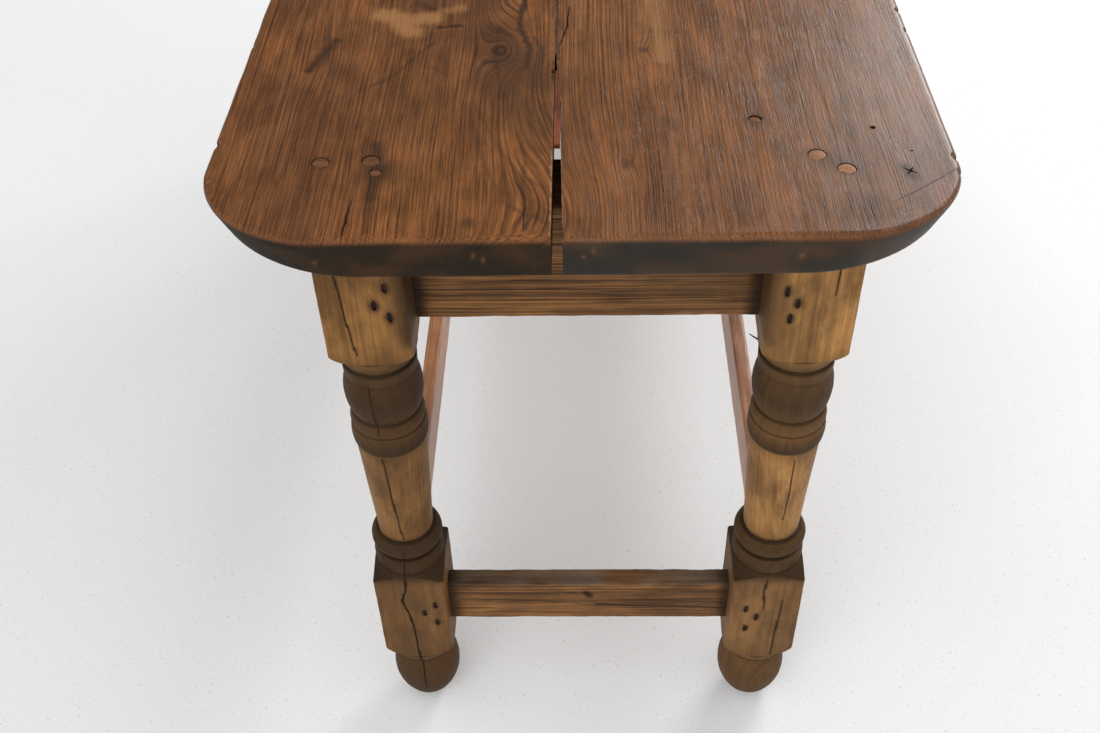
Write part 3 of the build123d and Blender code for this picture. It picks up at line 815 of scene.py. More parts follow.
# ---- Bars: rails, battens and slips --------------------------------------------------------------
def bar_section(half, step):
    """The places round a bar's section: across, up, the arris's turn, and whether it's on an arris.

    half is half its size across and up; the places run from -1 to 1 each way."""
    corners = ((1, 1), (-1, 1), (-1, -1), (1, -1))
    spots = []
    for k, (across, up) in enumerate(corners):
        turns = np.linspace(k * math.pi / 2, (k + 1) * math.pi / 2, 5)
        spots += [(across, up, turn, True) for turn in turns]
        next_across, next_up = corners[(k + 1) % 4]
        span = half[0] if across != next_across else half[1]
        for share in spaced(0, 1, 0.5 * step / span)[1:-1]:
            spot = (across + (next_across - across) * share, up + (next_up - up) * share)
            spots.append((*spot, turns[-1], False))
    return map(np.array, zip(*spots))


# Extra rings near a bar's shoulders, and how far the painted shade by them spreads along the bar.
NEAR_SHOULDER = np.array([0.001, 0.003])
SHOULDER_SHADE = 0.022


def bar(name, node, slot, material, axis, shoulders, section, tenon=None, arris=0.0016, rough=0.0003,
        seed=0, step=0.006, grime=0.5, strokes=(), weathered=0.0):
    """A bar along X or Y between its shoulders, with rubbed arrises and a tenon at each end if it has one.

    section is the bar's low and high corner across and up; tenon is its length, thickness, low and high.
    rough is how uneven its faces are, strokes are dark marks, and weathered is how grey its top is."""
    (across_low, up_low), (across_high, up_high) = section
    centre = ((across_low + across_high) / 2, (up_low + up_high) / 2)
    half = ((across_high - across_low) / 2, (up_high - up_low) / 2)
    across, up, turn, on_arris = bar_section(half, step)
    count = len(across)
    low, high = shoulders
    stations = np.concatenate([spaced(low, high, step), low + NEAR_SHOULDER, high - NEAR_SHOULDER])

    rings, wear_and_highlight = [], []
    for at in np.unique(stations):
        wear = arris * (1 + 0.9 * np.clip(ripple(np.array(at / 0.03), across + 2 * up, seed + 3), 0, 1))
        wear = np.minimum(wear, 0.45 * min(half))
        sides = []
        for place, size, bend in ((across, half[0], np.cos(turn)), (up, half[1], np.sin(turn))):
            inner = place * (size - wear)
            flat = np.where(np.abs(place) >= 1, place * size, inner)
            sides.append(np.where(on_arris, inner + wear * bend, flat))
        x, z = sides
        inward = rough * (ripple(np.full(count, at / 0.05), (x + 1.7 * z) / 0.02, seed) + 0.6)
        inward += 0.6 * rough * (ripple(np.full(count, at / 0.012), (x - z) / 0.006, seed + 1) + 0.6)
        inward = np.clip(inward, 0, None)
        x = x - np.sign(x) * inward * (np.abs(across) >= 1)
        z = z - np.sign(z) * inward * (np.abs(up) >= 1)
        rings.append(np.column_stack([np.full(count, at), centre[0] + x, centre[1] + z]))
        patchy = np.clip(0.5 + ripple(np.array(at / 0.02), across * 3 + up, seed + 5), 0, 1)
        wear_and_highlight.append(0.55 * on_arris * patchy)

    if tenon:
        length, thickness, tenon_low, tenon_high = tenon
        x = centre[0] + across * thickness / 2
        z = (tenon_high + tenon_low) / 2 + up * (tenon_high - tenon_low) / 2
        places = (low - length, low, high, high + length)
        ends = [np.column_stack([np.full(count, at), x, z]) for at in places]
        rings = [*ends[:2], *rings, *ends[2:]]
        unworn = [np.zeros(count)] * 2
        wear_and_highlight = [*unworn, *wear_and_highlight, *unworn]

    points = np.concatenate(rings)
    from_shoulder = np.minimum(points[:, 0] - low, high - points[:, 0])
    # Painted shade by each shoulder, where the bar meets a leg, fading along the bar.
    dirt_and_shade = grime * (1 - smooth(from_shoulder, 0.0, SHOULDER_SHADE))
    dirt_and_shade = np.maximum(dirt_and_shade, painted(points[:, 0], points[:, 2], strokes, 0.2))
    upper = weathered * smooth(points[:, 2], up_high - 0.004, up_high - 0.001)
    if axis == "y":
        points = points[:, (1, 0, 2)]
    faces = lattice(len(rings), count, wrap=True)
    faces += [list(range(count)), list(range(len(points) - count, len(points)))]
    marks = {"dirt_and_shade": dirt_and_shade, "wear_and_highlight": np.concatenate(wear_and_highlight), "patina": upper}
    piece(name, points, faces, material, node, slot, marks)


# Each tenon's length and thickness, and how far it stays below and above its rail's edges.
APRON_TENON = (0.0345, 0.012)
STRETCHER_TENON = (0.0345, 0.010)
SIDE_TENON_LENGTH = 0.030
APRON_TENON_MARGINS = (0.008, 0.040)
STRETCHER_TENON_MARGINS = (0.005, 0.0015)
SIDE_STRETCHER_MARGINS = (0.005, 0.005)
# How far the slips lie below the surface of the top.
SLIP_SUNK = 0.0004


def rail(name, axis, slot, material, tenon, margins, **looks):
    """A rail that stands for the CAD node of its name."""
    low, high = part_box(name)
    length, thickness = tenon
    k, c = (0, 1) if axis == "x" else (1, 0)
    shoulders = (low[k] + length, high[k] - length)
    section = ((low[c], low.z), (high[c], high.z))
    sized = (length, thickness, low.z + margins[0], high.z - margins[1])
    bar(f"rail_{name}", name, slot, material, axis, shoulders, section, sized, **looks)


# ---- The legs -----------------------------------------------------------------------------------
LEG_ARRIS = 0.003


def arc(first, through, last, step=0.0011):
    """Points along the circle from first to last by way of through, each as (radius, height)."""
    (ax, ay), (bx, by), (cx, cy) = first, through, last
    d = 2 * (ax * (by - cy) + bx * (cy - ay) + cx * (ay - by))
    a2, b2, c2 = ax * ax + ay * ay, bx * bx + by * by, cx * cx + cy * cy
    ux = (a2 * (by - cy) + b2 * (cy - ay) + c2 * (ay - by)) / d
    uy = (a2 * (cx - bx) + b2 * (ax - cx) + c2 * (bx - ax)) / d
    r = math.hypot(ax - ux, ay - uy)
    start, through_t, end = (math.atan2(y - uy, x - ux) for x, y in (first, through, last))
    turn = (end - start) % (2 * math.pi)
    if (through_t - start) % (2 * math.pi) > turn:
        turn -= 2 * math.pi
    t = start + np.linspace(0, turn, max(4, math.ceil(abs(turn) * r / step)))
    return [(ux + r * math.cos(v), uy + r * math.sin(v)) for v in t]


def line(first, last, step=0.004):
    """Points along a straight stretch of the outline."""
    count = max(2, math.ceil(math.dist(first, last) / step) + 1)
    return [tuple(p) for p in np.linspace(first, last, count)]


def turned_outline():
    """The leg's turned outline from the floor up, as radius and height, from stretches in millimetres."""
    stretches = [
        ("line", (17, 0), (17.5, 0.3)), ("arc", (17.5, 0.3), (39, 42), (31, 90)),
        ("line", (31, 90), (34, 94.6)), ("arc", (34, 94.6), (38, 101), (38, 110)),
        ("arc", (38, 110), (50.5, 120), (57, 142)), ("line", (57, 142), (57, 256)),
        ("arc", (57, 256), (46.5, 260.5), (37, 267)), ("arc", (37, 267), (39, 276.5), (36, 287.5)),
        ("line", (36, 287.5), (31, 289)), ("line", (31, 289), (34, 292)),
        ("arc", (34, 292), (39.2, 301), (33, 314)), ("line", (33, 314), (30, 314.8)),
        ("line", (30, 314.8), (36.5, 461)), ("line", (36.5, 461), (38.2, 461.6)),
        ("arc", (38.2, 461.6), (39.2, 472), (38, 483)), ("line", (38, 483), (36.5, 484.2)),
        ("arc", (36.5, 484.2), (38, 491.5), (35.5, 500)), ("line", (35.5, 500), (34, 501.5)),
        ("arc", (34, 501.5), (39.5, 526.5), (35, 553)), ("line", (35, 553), (36.3, 554.5)),
        ("line", (36.3, 554.5), (37, 568.3)), ("line", (37, 568.3), (34.5, 570)),
        ("arc", (34.5, 570), (38, 578), (39.5, 588)), ("arc", (39.5, 588), (50.5, 592.5), (57, 606)),
        ("line", (57, 606), (57, 730)),
    ]
    outline = []
    for kind, *ends in stretches:
        ends = [(r / 1000, z / 1000) for r, z in ends]
        outline += (arc if kind == "arc" else line)(*ends)
    return np.array(outline)


def square_radius(turn, arris):
    """How far the square stock reaches in each direction, with the given arris at its corners."""
    c, s = np.abs(np.cos(turn)), np.abs(np.sin(turn))
    flat = HALF_STOCK / np.maximum(c, s)
    inner = HALF_STOCK - arris
    on_arris = flat * np.minimum(c, s) > inner
    along = inner * (c + s)
    rounded = along + np.sqrt(np.clip(arris**2 - 2 * inner**2 + along**2, 0, None))
    return np.where(on_arris, rounded, flat)


def leg_columns():
    """Directions round the leg, closer together at the corners of the stock."""
    flat = np.arctan(np.linspace(-0.90, 0.90, 23))
    corner = np.linspace(flat[-1], math.pi / 2 - flat[-1], 9)[1:-1]
    quarter = np.concatenate([flat, corner])
    return np.concatenate([quarter + k * math.pi / 2 for k in range(4)])


# Long drying cracks on a leg's faces: the face's direction in degrees, then points (across, height),
# width and depth in millimetres.
LEG_CRACKS = {
    "front_left": (
        (-90, ((-23.5, 726), (-19.5, 690), (-16.5, 640), (-12, 600)), 0.7, 7),
        (-90, ((-8, 560), (-6.5, 530), (-5, 492)), 0.6, 6),
        (-90, ((-6, 456), (-4.5, 420), (-2.5, 370), (1, 320)), 0.8, 7),
        (-90, ((0.5, 308), (-3, 262), (-3.7, 242), (-10.4, 222), (-4, 195),
               (-1, 160), (-0.5, 124), (1, 80), (1, 37)), 1.2, 8),
        (180, ((10, 720), (4, 660), (8, 612)), 0.7, 6),
        (90, ((5, 240), (2, 190), (6, 130)), 0.7, 6),
    ),
    "front_right": (
        (-90, ((-2, 266), (-4, 235), (-1.5, 204)), 0.8, 6),
        (-90, ((18.3, 222.5), (16, 170), (14.6, 113)), 0.8, 6),
        (-90, ((17, 728), (18, 700), (16.5, 668)), 0.6, 4),
        (-90, ((6, 450), (7.5, 400), (5, 352)), 0.5, 4),
        (0, ((6, 700), (2, 650), (7, 612)), 0.7, 6),
    ),
    "back_left": (
        (90, ((10, 724), (13, 680), (8, 612)), 0.8, 7),
        (90, ((-4, 440), (-1, 390), (-5, 330)), 0.7, 6),
        (180, ((4, 245), (1, 190), (6, 135)), 0.9, 6),
    ),
    "back_right": (
        (90, ((-12, 255), (-8, 210), (-14, 140)), 0.9, 7),
        (0, ((-6, 722), (-2, 670), (-8, 612)), 0.8, 7),
        (90, ((6, 550), (8, 520), (6, 505)), 0.6, 4),
    ),
}
LEG_CRACK_SWING = 0.00018
# How dark a leg is painted at each height, from the floor up: heights in millimetres and shares. The peak at
# 462 mm, under the lip, is painted shade.
DARKENING_AT = (
    0, 85, 112, 150, 250, 264, 312, 318, 360, 440, 457,
    462, 484, 500, 530, 575, 592, 615, 730,
)
LEG_DARKENING = (
    0.72, 0.60, 0.52, 0.36, 0.42, 0.74, 0.74, 0.30, 0.14, 0.18, 0.40,
    0.86, 0.58, 0.66, 0.80, 0.62, 0.34, 0.12, 0.08,
)
# Painted shade in the leg's grooves, drawn as dark lines: their heights, half widths and strengths.
DARK_GROOVES = (
    (0.0940, 0.0016, 0.80), (0.1090, 0.0010, 0.55), (0.2660, 0.0016, 0.80), (0.2895, 0.0022, 1.0),
    (0.3145, 0.0022, 1.0), (0.4610, 0.0026, 1.0), (0.4842, 0.0014, 0.80), (0.5010, 0.0024, 1.0),
    (0.5535, 0.0020, 0.90), (0.5690, 0.0022, 1.0), (0.5890, 0.0014, 0.60),
)
# Nails in a leg's end face: offset across from the leg's centre, and height, in millimetres.
FACE_NAILS = {
    "apron": {
        "left": ((22.6, 681), (11.3, 661), (23.9, 646.5)),
        "right": ((-25.1, 673), (-14.8, 659.5), (-19.9, 642)),
    },
    "stretcher": {
        "left": ((27, 213.5), (13.6, 198.6), (26.9, 181)),
        "right": ((-8.5, 190), (-19.5, 168.5), (-21.5, 205.5)),
    },
}
# Nails in a leg's outer side face: offset inwards along the table, and height, in millimetres.
SIDE_NAILS = {"apron": ((24, 676), (17, 640)), "stretcher": ((23, 228), (17, 200))}
NAIL_HEAD = (0.0035, 0.0090)
NAIL_POINT = (0.0020, 0.0040)
NAIL_SUNK = 0.0015
FACE_NAIL_LENGTH = 0.066
SIDE_NAIL_LENGTH = 0.042
FACE_NAIL_SEED = 200


def nail_frames(end, side, rail_name):
    """For each nail at one corner: where its head meets the wood, and its way in, across and length."""
    leg = middle(f"leg_{end}_{side}")
    inward = 1 if end == "front" else -1
    outward = 1 if side == "right" else -1
    frames = []
    for across, z in metres(FACE_NAILS[rail_name][side]):
        spot = Vector((leg.x + across, leg.y - inward * HALF_STOCK, z))
        frames.append((spot, Vector((0, inward, 0)), Vector((1, 0, 0)), FACE_NAIL_LENGTH))
    for inwards, z in metres(SIDE_NAILS[rail_name]):
        spot = Vector((leg.x + outward * HALF_STOCK, leg.y + inward * inwards, z))
        frames.append((spot, Vector((-outward, 0, 0)), Vector((0, 1, 0)), SIDE_NAIL_LENGTH))
    return frames


def nail_hole(spot, way, across, seed):
    """A ragged slot over a nail's head, from just outside the wood down to the head."""
    turn = circle(18)
    draw = np.random.default_rng(seed)
    ragged = 1 + draw.uniform(-0.10, 0.16, 18)
    rings = []
    for depth, grow in ((-0.003, 1.22), (0.0004, 1.12), (NAIL_SUNK + 0.0016, 1.05)):
        ring = []
        for t, r in zip(turn, ragged):
            wide, tall = np.array(squarish(t, 0.6)) * NAIL_HEAD * (grow * r / 2)
            ring.append(tuple(spot + way * depth + across * wide + Vector((0, 0, tall))))
        rings.append(ring)
    return prism(rings)


def leg_marks(end, side, outline, around, height, blocky, points, seed):
    """The dark marks and wear of a leg: painted shade in its grooves, under its lip and on its upper block's
    inner face; dark ledges, a dark foot and nail stains; and its beads and arrises rubbed.
    """
    z = outline[:, 1][:, None]
    inner_x = 1 if side == "left" else -1
    level = np.arange(0, 0.730, 0.001)
    profile = np.interp(level, outline[:, 1], np.minimum(outline[:, 0], HALF_STOCK + 0.004))
    mean = np.convolve(np.pad(profile, 7, mode="edge"), np.ones(15) / 15, mode="valid")
    sunk = np.interp(outline[:, 1], level, mean - profile)[:, None]
    # Painted shade in the grooves, where the outline sinks below its smoothed self.
    grooves = smooth(sunk, 0.0003, 0.0019) * (1 - 0.7 * blocky)
    # Darker by height, as the table gives; under the lip this is painted shade.
    darkening = np.interp(height, metres(DARKENING_AT), LEG_DARKENING)
    shoulder = 0.85 * smooth(z, 0.247, 0.256) * (1 - smooth(z, 0.264, 0.272)) * (1 - blocky)
    by_floor = 0.8 * (1 - smooth(height, 0.0, 0.014))
    # Painted shade on the upper block's inner face, beside the end apron.
    inner_face_shade = 0.62 * smooth(np.cos(around) * inner_x, 0.45, 0.70) * smooth(z, 0.592, 0.620)
    dirt_and_shade = np.maximum.reduce([grooves, darkening, shoulder, by_floor, inner_face_shade])
    # Painted shade as dark lines in the grooves.
    for groove_z, half, strong in DARK_GROOVES:
        dirt_and_shade = np.maximum(dirt_and_shade, strong * np.exp(-(((z - groove_z) / half) ** 2)) * (1 - blocky))
    for rail_name in FACE_NAILS:
        for spot, *_ in nail_frames(end, side, rail_name):
            away = (points - np.array(spot)) * (1, 1, 0.7)
            away = np.sqrt((away**2).sum(axis=-1))
            dirt_and_shade = np.maximum(dirt_and_shade, 0.62 * (1 - smooth(away, 0.002, 0.011)))
    proud = smooth(-sunk, 0.0003, 0.0018) * (1 - blocky)
    on_arris = (np.abs(np.cos(around)) > 0.62) & (np.abs(np.sin(around)) > 0.62)
    patchy = np.clip(0.45 + ripple(height / 0.02, around * 2, seed + 4), 0, 1)
    wear_and_highlight = np.maximum(0.18 * proud * patchy, 0.42 * blocky * on_arris * patchy)
    return dirt_and_shade, wear_and_highlight


def leg(end, side, material, seed):
    """A turned leg: the lathe's outline wherever it is inside the square stock."""
    name = f"leg_{end}_{side}"
    centre = middle(name)
    outline = turned_outline()
    around, height = np.meshgrid(leg_columns(), outline[:, 1])
    radius = outline[:, 0][:, None]
    # The inner corner by the end of the table is worn to a chamfer on the upper block.
    inner_x = 1 if side == "left" else -1
    outer_y = -1 if end == "front" else 1
    at_corner = (np.cos(around) * inner_x > 0) & (np.sin(around) * outer_y > 0)
    chamfer = 0.0058 * smooth(height, 0.590, 0.625) * (1 - 0.75 * smooth(height, 0.690, 0.726))
    uneven = 0.0008 * ripple(height / 0.03, around, seed + 9)
    arris = LEG_ARRIS + np.clip(uneven, -0.0006, 0.001) + chamfer * at_corner
    stock = square_radius(around, arris)
    blocky = (stock < radius).astype(float)
    r = np.minimum(stock, radius)
    c, s = np.cos(around), np.sin(around)
    hollow = 0.00030 * (ripple(c * 1.6 + height / 0.05, s * 1.6, seed) + 0.6)
    hollow += 0.00015 * (ripple(c * 6 + height / 0.012, s * 6, seed + 1) + 0.6)
    r = r - np.clip(hollow, 0, None) * smooth(height, 0.001, 0.006)
    points = np.stack([centre.x + r * c, centre.y + r * s, height], -1)
    dirt_and_shade, wear_and_highlight = leg_marks(end, side, outline, around, height, blocky, points, seed)

    rows, columns = r.shape
    foot, head = (centre.x, centre.y, 0.0), (centre.x, centre.y, TOP_UNDERSIDE)
    points = np.concatenate([[foot], points.reshape(-1, 3), [head]])
    faces = lattice(rows, columns, 1, wrap=True)
    last = len(points) - 1
    for j in range(columns):
        k = (j + 1) % columns
        faces.append([0, 1 + k, 1 + j])
        faces.append([last, last - columns + j, last - columns + k])
    dirt_and_shade = np.concatenate([[0.5], dirt_and_shade.ravel(), [0.3]])
    wear_and_highlight = np.concatenate([[0], wear_and_highlight.ravel(), [0]])
    made = piece(f"turned_{name}", points, faces, material, name, "legs", {"dirt_and_shade": dirt_and_shade, "wear_and_highlight": wear_and_highlight})
    # Nail slots and cracks may cross, so they're cut one after the other.
    carve(made, nail_cutters(end, side, seed))
    carve(made, crack_cutters(end, side, outline, seed))


def nail_cutters(end, side, seed):
    """The slots over a leg's nails."""
    cutters = []
    for rail_name in FACE_NAILS:
        for spot, way, across, _ in nail_frames(end, side, rail_name):
            cutters.append(nail_hole(spot, way, across, seed + len(cutters)))
    return cutters


def crack_cutters(end, side, outline, seed):
    """A leg's cracks."""
    cutters = []
    centre = middle(f"leg_{end}_{side}")
    levels = outline[:, 1]
    reach = np.minimum(outline[:, 0], HALF_STOCK)
    for number, (facing, *crack) in enumerate(LEG_CRACKS[f"{end}_{side}"]):
        points, width, depth = metres(tuple(crack))
        turn = math.radians(facing)
        out_way = np.array([math.cos(turn), math.sin(turn)])
        side_way = np.array([1.0, 0.0]) if abs(out_way[1]) > 0.5 else np.array([0.0, 1.0])

        def on_leg(across, height, out):
            r = float(np.interp(height, levels, reach))
            surface = math.sqrt(max(r * r - across * across, 0)) if r < HALF_STOCK - 1e-4 else r
            spot = np.array([centre.x, centre.y]) + out_way * (surface + out) + side_way * across
            return (spot[0], spot[1], height)

        path = wandering(points, seed * 10 + number, LEG_CRACK_SWING, 8)
        cutters.append(crack_cutter(path, width, depth, on_leg))
    return cutters


# ---- Pegs, plug, nails --------------------------------------------------------------------------
def joined(name, solids, material, node, slot):
    """Several closed solids as one piece that stands for one CAD node."""
    piece(name, *together(solids), material, node, slot)


def peg_solid(x, y, radius, low, high, seed):
    """A hand-shaved peg with a slightly domed, tilted end."""
    draw = np.random.default_rng(seed)
    lean = draw.uniform(-0.02, 0.02, 2)
    turn = circle(40)
    facets = 1 - 0.020 * np.abs(np.sin(4 * turn + draw.uniform(0, 3)))
    round_x, round_y = radius * facets * np.cos(turn), radius * facets * np.sin(turn)
    rings = []
    for z in spaced(low, high - 0.0012, 0.01):
        rings.append(np.column_stack([x + round_x, y + round_y, np.full(len(turn), z)]))
    for share in (0.97, 0.92, 0.8, 0.6, 0.4, 0.2):
        dx, dy = share * round_x, share * round_y
        z = high - 0.0009 * share**6 - 0.00018 + lean[0] * dx + lean[1] * dy
        rings.append(np.column_stack([x + dx, y + dy, np.minimum(z, high)]))
    return prism(rings)


def peg_group(end, side, material):
    """The pegs at one corner, from inside the leg to the surface of the top."""
    node = f"top_pegs_{end}_{side}"
    low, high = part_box(node)
    seed = 70 + 5 * len(node)
    solids = []
    for x, y, radius in peg_places(end, side):
        solids.append(peg_solid(x, y, radius, low.z, high.z, seed + len(solids)))
    joined(f"pegs_{end}_{side}", solids, material, node, "pegs")


def nail_solid(spot, way, across, length, seed, sunk=NAIL_SUNK):
    """A tapering cut nail with a hammered head."""
    draw = np.random.default_rng(seed)
    up = way.cross(across)
    head, point = np.array(NAIL_HEAD) / 2, np.array(NAIL_POINT) / 2
    rings = []
    for depth, share in ((0.0, 0.55), (0.0, 0.86), (0.0004, 0.98), (0.002, 1.0)):
        rings.append(nail_ring(spot + way * (sunk + depth), across, up, head * share, draw))
    for t in np.linspace(0.1, 1.0, 6):
        size = head * (1 - t) + point * t
        rings.append(nail_ring(spot + way * (sunk + t * (length - 0.0004)), across, up, size, draw))
    return prism(rings)


def nail_ring(centre, across, up, size, draw):
    """One rounded rectangle round a nail's shank."""
    ring = []
    for t in circle(16):
        wide, tall = squarish(t, 0.45) * size * draw.uniform(0.97, 1.0, 2)
        ring.append(tuple(centre + across * wide + up * tall))
    return ring


def corner_nails(end, side, rail_name, material):
    """The nails that hold one corner's apron or stretcher tenons."""
    solids = []
    for spot, way, across, length in nail_frames(end, side, rail_name):
        solids.append(nail_solid(spot, way, across, length, FACE_NAIL_SEED + len(solids)))
    node = f"{rail_name}_nails_{end}_{side}"
    joined(f"nails_{rail_name}_{end}_{side}", solids, material, node, "nails")


BATTEN_NAIL_X = (-0.150, -0.075, 0.060, 0.150)
BATTEN_NAIL_SEED = 300


def batten_nails(name, material):
    """The nails driven up through one batten."""
    low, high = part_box(f"batten_nails_{name}")
    y = (low.y + high.y) / 2
    solids = []
    way, across = Vector((0, 0, 1)), Vector((1, 0, 0))
    for x in BATTEN_NAIL_X:
        spot = Vector((x, y, low.z))
        seed = BATTEN_NAIL_SEED + len(solids)
        solids.append(nail_solid(spot, way, across, high.z - low.z, seed, 0.0))
    joined(f"nails_batten_{name}", solids, material, f"batten_nails_{name}", "nails")


def splinter(material):
    """A thin bent nail tip that leans out of the near right leg."""
    low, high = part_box("splinter_nail")
    y = (low.y + high.y) / 2
    start = Vector((high.x - 0.001, y, low.z + 0.001))
    end = Vector((low.x + 0.0008, y, high.z - 0.0008))
    across = Vector((0, 1, 0))
    up = (end - start).normalized().cross(across)
    rings = []
    for t in np.linspace(0, 1, 14):
        centre = start.lerp(end, t) + up * (0.0006 * math.sin(math.pi * t))
        size = float(0.00095 * (1 - 0.55 * t**2))
        ring = []
        for a in circle(12):
            ring.append(tuple(centre + size * (across * math.cos(a) + up * math.sin(a))))
        rings.append(ring)
    joined("nail_tip", [prism(rings)], material, "splinter_nail", "nails")


# ---- The object ---------------------------------------------------------------------------------
# Marks on the end stretchers' faces: points (across, height) and half width in millimetres, and strength.
STRETCHER_MARKS = (
    (((4, 203), (8, 198)), 4.8, 0.95),
    (((-10, 204), (-30, 206)), 3, 0.40),
    (((20, 197), (44, 194)), 3, 0.38),
    (((16, 182), (90, 178), (168, 174.5)), 1.7, 0.95),
    (((-142, 194), (-70, 189), (-3, 184)), 1.4, 0.55),
    (((-100, 212), (-60, 214)), 2.4, 0.40),
)
KNOT = ((-0.069, -0.500), (0.020, 0.038), 0.024)
LEFT_EDDIES = (
    KNOT,
    ((-0.018, -0.760), (0.045, 0.115), 0.026),
    ((-0.080, -0.395), (0.020, 0.045), -0.014),
    ((-0.155, 0.230), (0.016, 0.030), 0.015),
    ((-0.245, -0.520), (0.020, 0.060), 0.006),
)
RIGHT_EDDIES = (
    ((0.064, -0.502), (0.008, 0.018), 0.006),
    ((0.041, -0.696), (0.007, 0.016), 0.005),
    ((0.124, 0.433), (0.015, 0.030), 0.014),
    ((0.000, -0.770), (0.030, 0.080), -0.012),
)
top_look = {
    "along": "y", "early": TOP_EARLY, "late": TOP_LATE, "aged": TOP_AGED, "patina": (PATINA, PATINA_BROWN),
    "sway": 0.014, "fine": 1000.0, "grain": 0.42, "blotch": 0.26,
}
left_wood = wood(
    "top_left", heart=(0.120, 0.60), ring=0.0036, eddies=LEFT_EDDIES, seed=1, gloss=0.40, flecks=0.20,
    **top_look,
)
right_wood = wood(
    "top_right", heart=(-0.300, 0.60), ring=0.0034, eddies=RIGHT_EDDIES, seed=2, gloss=0.25, shine=0.24,
    flecks=0.22, bump=0.4, **top_look,
)
pine = {
    "along": "z", "late": PINE_LATE, "aged": PINE_AGED, "ring": 0.0065, "sway": 0.006, "gloss": 0.44,
    "figure": 0.30, "grain": 0.22, "blotch": 0.42, "fine": 600.0, "flecks": 0.10,
}
top_colours = (TOP_LATE, TOP_AGED)
peg_colours = (PEG_EARLY, PEG_LATE, PINE_AGED)
rail_colours = (RAIL_EARLY, RAIL_LATE, RAIL_AGED)
salmon_colours = (SALMON_EARLY, SALMON_LATE, RAIL_AGED)
nail_iron = iron("nail_iron")
peg_wood = wood("peg_wood", "z", (0.0, 0.0), *peg_colours, ring=0.0016, sway=0.001, seed=5)
dark_peg_wood = wood("dark_peg_wood", "z", (-0.2, 0.0), DARK_PEG, *top_colours, ring=0.002, seed=9)
slip_wood = wood("slip_wood", "y", (-0.020, 0.70), SLIP_RED, *top_colours, ring=0.003, seed=6, gloss=0.5)
batten_wood = wood("batten_wood", "x", (0.0, 0.60), *rail_colours, ring=0.005, seed=7, gloss=0.6)
dowel_wood = wood("dowel_wood", "x", (0.0, 0.74), *peg_colours, ring=0.002, seed=8, gloss=0.55)

board("left", left_wood)
board("right", right_wood)

# inward is the way from an end of the table to its middle.
for number, (end, inward) in enumerate((("front", 1), ("back", -1))):
    for turn_number, side in enumerate(("left", "right")):
        seed = 20 + 4 * number + 2 * turn_number
        centre = middle(f"leg_{end}_{side}")
        # Right legs take the lighter early wood: painted light from the right.
        early, lean = (PINE_EARLY, 0.055) if side == "left" else (LIT_PINE_EARLY, -0.055)
        heart = (centre.x + lean, centre.y + 0.070 * inward)
        leg(end, side, wood(f"pine_{end}_{side}", heart=heart, early=early, seed=seed, **pine), seed)
        peg_group(end, side, dark_peg_wood if side == "left" else peg_wood)
        corner_nails(end, side, "apron", nail_iron)
        corner_nails(end, side, "stretcher", nail_iron)

for end, inward in (("front", 1), ("back", -1)):
    heart = (middle(f"apron_{end}").y + 0.05 * inward, 0.46)
    apron_wood = wood(
        f"apron_{end}_wood", "x", heart, *rail_colours, ring=0.0085, sway=0.012, seed=31, figure=1.0,
        gloss=0.40, fine=380.0, grain=0.62,
    )
    rail(f"apron_{end}", "x", "aprons", apron_wood, APRON_TENON, APRON_TENON_MARGINS, seed=41, grime=0.85)
    heart = (middle(f"stretcher_{end}").y + 0.04 * inward, 0.09)
    stretcher_wood = wood(
        f"stretcher_{end}_wood", "x", heart, *rail_colours, ring=0.009, sway=0.006, seed=33, gloss=0.48,
        patina=(GREYED, RAIL_AGED), blotch=0.32, fine=450.0, grain=0.60,
    )
    rail(
        f"stretcher_{end}", "x", "stretchers", stretcher_wood, STRETCHER_TENON, STRETCHER_TENON_MARGINS,
        seed=43, arris=0.0024, grime=0.7, step=0.0026, strokes=STRETCHER_MARKS, weathered=0.62,
    )

for side in ("left", "right"):
    heart = (middle(f"apron_{side}").x + 0.15, 0.66)
    side_wood = wood(f"side_apron_{side}_wood", "y", heart, *rail_colours, ring=0.007, seed=35)
    tenon = (SIDE_TENON_LENGTH, APRON_TENON[1])
    rail(f"apron_{side}", "y", "aprons", side_wood, tenon, APRON_TENON_MARGINS, seed=45, grime=0.6)
    heart = (middle(f"stretcher_{side}").x + 0.15, 0.20)
    low_wood = wood(
        f"side_stretcher_{side}_wood", "y", heart, *salmon_colours, sway=0.008, seed=37, gloss=0.30,
        shine=0.4, figure=0.6, grain=0.25,
    )
    rail(
        f"stretcher_{side}", "y", "stretchers", low_wood, (SIDE_TENON_LENGTH, STRETCHER_TENON[1]),
        SIDE_STRETCHER_MARGINS, seed=47, arris=0.0028, grime=0.6,
    )

for name in ("front", "middle", "back"):
    low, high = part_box(f"batten_{name}")
    section = ((low.y, low.z), (high.y, high.z))
    bar(
        f"bar_batten_{name}", f"batten_{name}", "battens", batten_wood, "x", (low.x, high.x), section,
        arris=0.0012, rough=0.0004, seed=51, grime=0.3,
    )
    batten_nails(name, nail_iron)

for name in ("front", "rear"):
    low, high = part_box(f"joint_slip_{name}")
    section = ((low.x, low.z), (high.x, high.z - SLIP_SUNK))
    bar(
        f"slip_{name}", f"joint_slip_{name}", "slips", slip_wood, "y", (low.y, high.y), section,
        arris=0.0007, rough=0.0004, seed=55, step=0.002, grime=0.3,
    )

low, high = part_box("top_plug")
joined("plug", [peg_solid(*PLUG_PLACE, PLUG_R, low.z, high.z, 91)], dark_peg_wood, "top_plug", "pegs")
splinter(nail_iron)

# The dowels are hidden in the joint, so the CAD's own stay and take a wood.
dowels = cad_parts["edge_dowels"]
dowels.data.materials.clear()
dowels.data.materials.append(dowel_wood)

